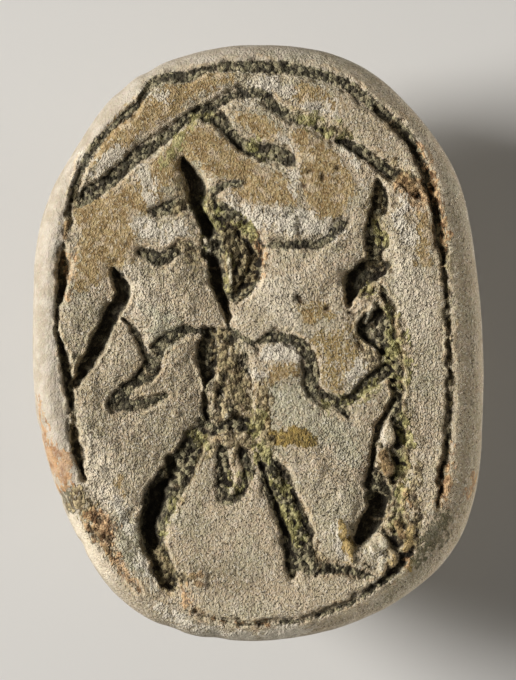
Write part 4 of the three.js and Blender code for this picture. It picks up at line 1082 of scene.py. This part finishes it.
def weathered_steatite():
    """Bleached soapstone: sandy where it has weathered, tan where its skin is left, dark dirt and painted
    shade in the cuts.
    """
    stone = Finish("weathered steatite")
    place = stone.node("ShaderNodeVectorMath", {"operation": "SCALE"}, {
        0: stone.node("ShaderNodeTexCoord", output="Object"), "Scale": 1 / METRES})
    drawn = stone.node("ShaderNodeVectorMath", {"operation": "MULTIPLY"}, {0: place, 1: (1, 0.6, 1)})

    def noise(size, detail, where=place, output=0):
        """Even noise, its lumps' size in millimetres."""
        return stone.node(
            "ShaderNodeTexNoise", {}, {"Vector": where, "Scale": 1 / size, "Detail": detail}, output)

    def grains(size):
        """How near the middle of its grain a point is, and a random shade for each grain."""
        sockets = {"Vector": place, "Scale": 1 / size}
        shade = stone.node("ShaderNodeSeparateColor", {}, {
            "Color": stone.node("ShaderNodeTexVoronoi", {}, sockets, "Color")})
        return 1 - stone.node("ShaderNodeTexVoronoi", {}, sockets), shade

    broad, tint, patchy, blotch = noise(2.6, 2), noise(1.1, 3), noise(0.5, 2), noise(0.33, 2)
    edge, sand, fine = noise(0.15, 1, drawn), noise(0.075, 1), noise(0.045, 0)
    crumb, crumb_shade = grains(0.13)

    def ragged(name, spread=1.0, blur=0.16):
        """A mark with its edge broken up by the grain of the stone."""
        mark = stone.mark(name)
        speckle = (patchy - 0.5) * spread + (edge - 0.5) * spread * 1.5 + (sand - 0.5) * spread * 0.6
        return (mark + speckle * (mark * 4).between(0, 1)).between(0.5 - blur, 0.5 + blur)

    rim, side, coarse, lip, hollow = (
        stone.mark(name) for name in ("rim", "side", "coarse", "lip", "hollow"))
    skin, film, bloom = ragged("skin", 1.3, 0.09), ragged("film", 1.8, 0.25), ragged("bloom", 1.2, 0.3)
    dull, pale, crust = ragged("dull", 1.0, 0.4), ragged("pale", 1.0, 0.4), ragged("crust", 1.6)
    dirt, soil, rubble = ragged("dirt", 0.5), ragged("soil", 1.4), ragged("rubble", 1.4)
    ochre, olive, stain, umber = (
        ragged("ochre"), ragged("olive", 1.4), ragged("stain", 1.4), ragged("umber", 1.2))
    clod, lump = ragged("clod", 0.6), ragged("lump", 0.6)
    bare = (1 - rim) * (1 - skin * 0.4)
    pores, flecks = noise(0.08, 1).between(0.62, 0.7) * bare, noise(0.1, 1).between(0.62, 0.7) * bare
    gaps = (1 - fine).between(0.5, 0.75)

    # In between() stand the levels at which a layer starts and is whole, and after it how much of it shows.
    tan = stone.laid(stone.shades(blotch.between(0.4, 0.6), "tan"), [
        (patchy.between(0.54, 0.64) * 0.75, "worn tan"),
        (sand.between(0.5, 0.7) * 0.7, "tan sand"),
        (flecks * 0.8, "tan flecks"),
        (gaps * 0.5, "tan gaps"),
        (pores * 0.9, "tan pores"),
    ])
    rust = stone.mix(rim, stone.shades(crumb_shade.between(0.1, 0.7), "rusty crumbs"),
                     stone.shades(blotch.between(0.35, 0.6), "rust"))
    # Grime in the cuts, darkened with depth: dirt, and painted shade in the deep cuts.
    grime_and_deep_shade = stone.laid(stone.shades(crumb_shade.between(0.3, 1), "grime_and_deep_shade"), [
        (stone.mark("depth").between(0.26, 0.46) * 0.8, "deep dirt and painted shade")])
    chalk = stone.laid(stone.shades(crumb_shade, "chalk"), [(ochre, "yellow lump")])
    base = stone.laid(stone.shades(tint.between(0.35, 0.65), "stone"), [
        (broad.between(0.4, 0.65) * 0.6, "sandy stone"),
        (patchy.between(0.5, 0.7) * 0.5, "pale stone"),
        (rim * 0.85, stone.shades(patchy.between(0.4, 0.65), "rim")),
        ((1 - patchy).between(0.5, 0.68) * (coarse + 0.4) * 0.32, "brown stone"),
        # Painted shade, partly dirt, on the dull patches.
        (dull * 0.5, "dull stone"),
        # Painted light, partly cleaner stone, on the pale patches.
        (pale * 0.65, "clean stone and painted light"),
        (bloom * 0.55, "bloom"),
        (film * 0.85, "film"),
        (crust * 0.8, "crust"),
        (sand.between(0.5, 0.7) * (1 - rim * 0.7) * 0.5, "sand"),
        (gaps * bare * 0.35, "gaps"),
        (pores * 0.8, "pores"),
        (flecks * 0.6, "flecks"),
        (skin * (1 - dirt) * (1 - crust * 0.8) * 0.92, tan),
        (ochre * 0.9, stone.shades(crumb_shade, "ochre")),
        (soil * (0.5 + crumb_shade * 0.4), "soil"),
        (rubble * 0.85, stone.shades(crumb_shade.between(0.2, 0.9), "rubble")),
        # Dirt in the cuts, with painted shade in the deep ones.
        (dirt * 0.95, grime_and_deep_shade),
        # Brown crumbs, partly painted shade beside the profile and the armpit.
        (umber * 0.75, stone.shades(crumb_shade.between(0.1, 0.9), "umber")),
        (stain * (0.6 + crumb_shade * 0.35), rust),
        (olive * (1 - ochre) * patchy.between(0.36, 0.56) * 0.85, stone.shades(crumb_shade, "moss")),
        (clod * 0.85, stone.shades(crumb_shade, "clod")),
        (lump * 0.85, chalk),
        # Painted highlight: the raised lips along the cuts are painted paler.
        (lip * 0.6, stone.shades(blotch.between(0.4, 0.6), "lip")),
        # Painted shade, partly dirt, in the hollows of the beetle's sides and back.
        (side * hollow.between(0.5, 0.62) * 0.6, "side's dirt and painted shade"),
    ])
    base = stone.mix(0.1, base, noise(0.14, 1, output="Color"), "SOFT_LIGHT")
    # Painted shade in the mesh's creases, partly dirt, heavier where dirt and rubble lie; then the dark pits.
    base = stone.laid(base, [
        (hollow.between(0.56, 0.8) * (0.3 + dirt * 0.4 + rubble * 0.4), "hollows"),
        (stone.mark("pit") * 0.8, "pits"),
    ])

    heaps = crumb * (dirt + rubble * 0.8 + crust * 0.4).between(0, 1)
    grain = edge * (0.7 - skin * 0.4) + sand * 0.8 + fine * 0.35 + flecks * 0.3 - pores * 0.5
    smoothed = (1 - skin * 0.1) * (1 - rim * 0.35) * (1 - side * 0.4)
    bump = grain * smoothed * (0.85 + coarse * 0.5) + heaps * 0.8
    stone.feed(stone.shader.inputs["Base Color"], base)
    stone.feed(stone.shader.inputs["Roughness"], 0.92 - skin * 0.2 - rim * 0.12)
    stone.feed(stone.shader.inputs["Specular IOR Level"], 0.3)
    stone.feed(stone.shader.inputs["Normal"], stone.node(
        "ShaderNodeBump", {}, {"Strength": 1.0, "Distance": BUMP_HEIGHT * METRES, "Height": bump}))
    return stone.material


# ---------------------------------------------------------------- the stage

def paper_floor(size=0.6, shade=(0.68, 0.675, 0.66, 1), roughness=0.9):
    """A plain pale floor, its size in metres."""
    paper = Finish("pale paper")
    paper.feed(paper.shader.inputs["Base Color"], shade)
    paper.feed(paper.shader.inputs["Roughness"], roughness)
    bpy.ops.mesh.primitive_plane_add(size=size)
    floor = bpy.context.object
    floor.name = "floor"
    floor.data.materials.append(paper.material)


def softbox(name, place, size, power, shade):
    """A square lamp that faces the amulet, its place and size in millimetres and its power in watts."""
    lamp = bpy.data.lights.new(name, "AREA")
    lamp.size, lamp.energy, lamp.color = size * METRES, power, shade
    holder = bpy.data.objects.new(name, lamp)
    holder.location = Vector(place) * METRES
    towards = Vector((0, 0, HEIGHT * METRES)) - holder.location
    holder.rotation_euler = towards.to_track_quat("-Z", "Y").to_euler()
    bpy.context.scene.collection.objects.link(holder)


def overhead_camera():
    """A long lens straight above the engraved face, the beetle's head at the top of the view."""
    x, y, view_height = -0.01, 0.1, 22.62
    lens, film = 400, 36
    camera = bpy.data.cameras.new("camera")
    camera.lens, camera.sensor_width = lens, film
    camera.clip_start = 10 * METRES
    holder = bpy.data.objects.new("camera", camera)
    holder.location = Vector((x, y, HEIGHT + view_height * lens / film)) * METRES
    bpy.context.scene.collection.objects.link(holder)
    bpy.context.scene.camera = holder


def studio_light():
    """One key light from the upper left, a weak low one from the right, and a faint even fill."""
    warm = (1, 0.96, 0.9)
    softbox("key", (-340, 60, 205), 130, 2.45, (1, 0.975, 0.94))
    softbox("edge light", (165, -25, 4), 50, 0.24, warm)
    world = bpy.data.worlds.new("studio")
    world.use_nodes = True
    fill = world.node_tree.nodes["Background"].inputs
    fill["Color"].default_value, fill["Strength"].default_value = (*warm, 1), 0.1
    bpy.context.scene.world = world
    bpy.context.scene.view_settings.view_transform = "Standard"


def carved_scarab():
    """The amulet: its mesh, its cord hole, its marks and its finish."""
    stone = mesh_object("carved_scarab", *stone_mesh())
    drill(stone)
    stone.data.materials.clear()
    stone.data.materials.append(weathered_steatite())
    stone.data.shade_smooth()
    mark_surface(stone)
    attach(stone, "root")
    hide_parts("scarab")


overhead_camera()
studio_light()
paper_floor()
carved_scarab()
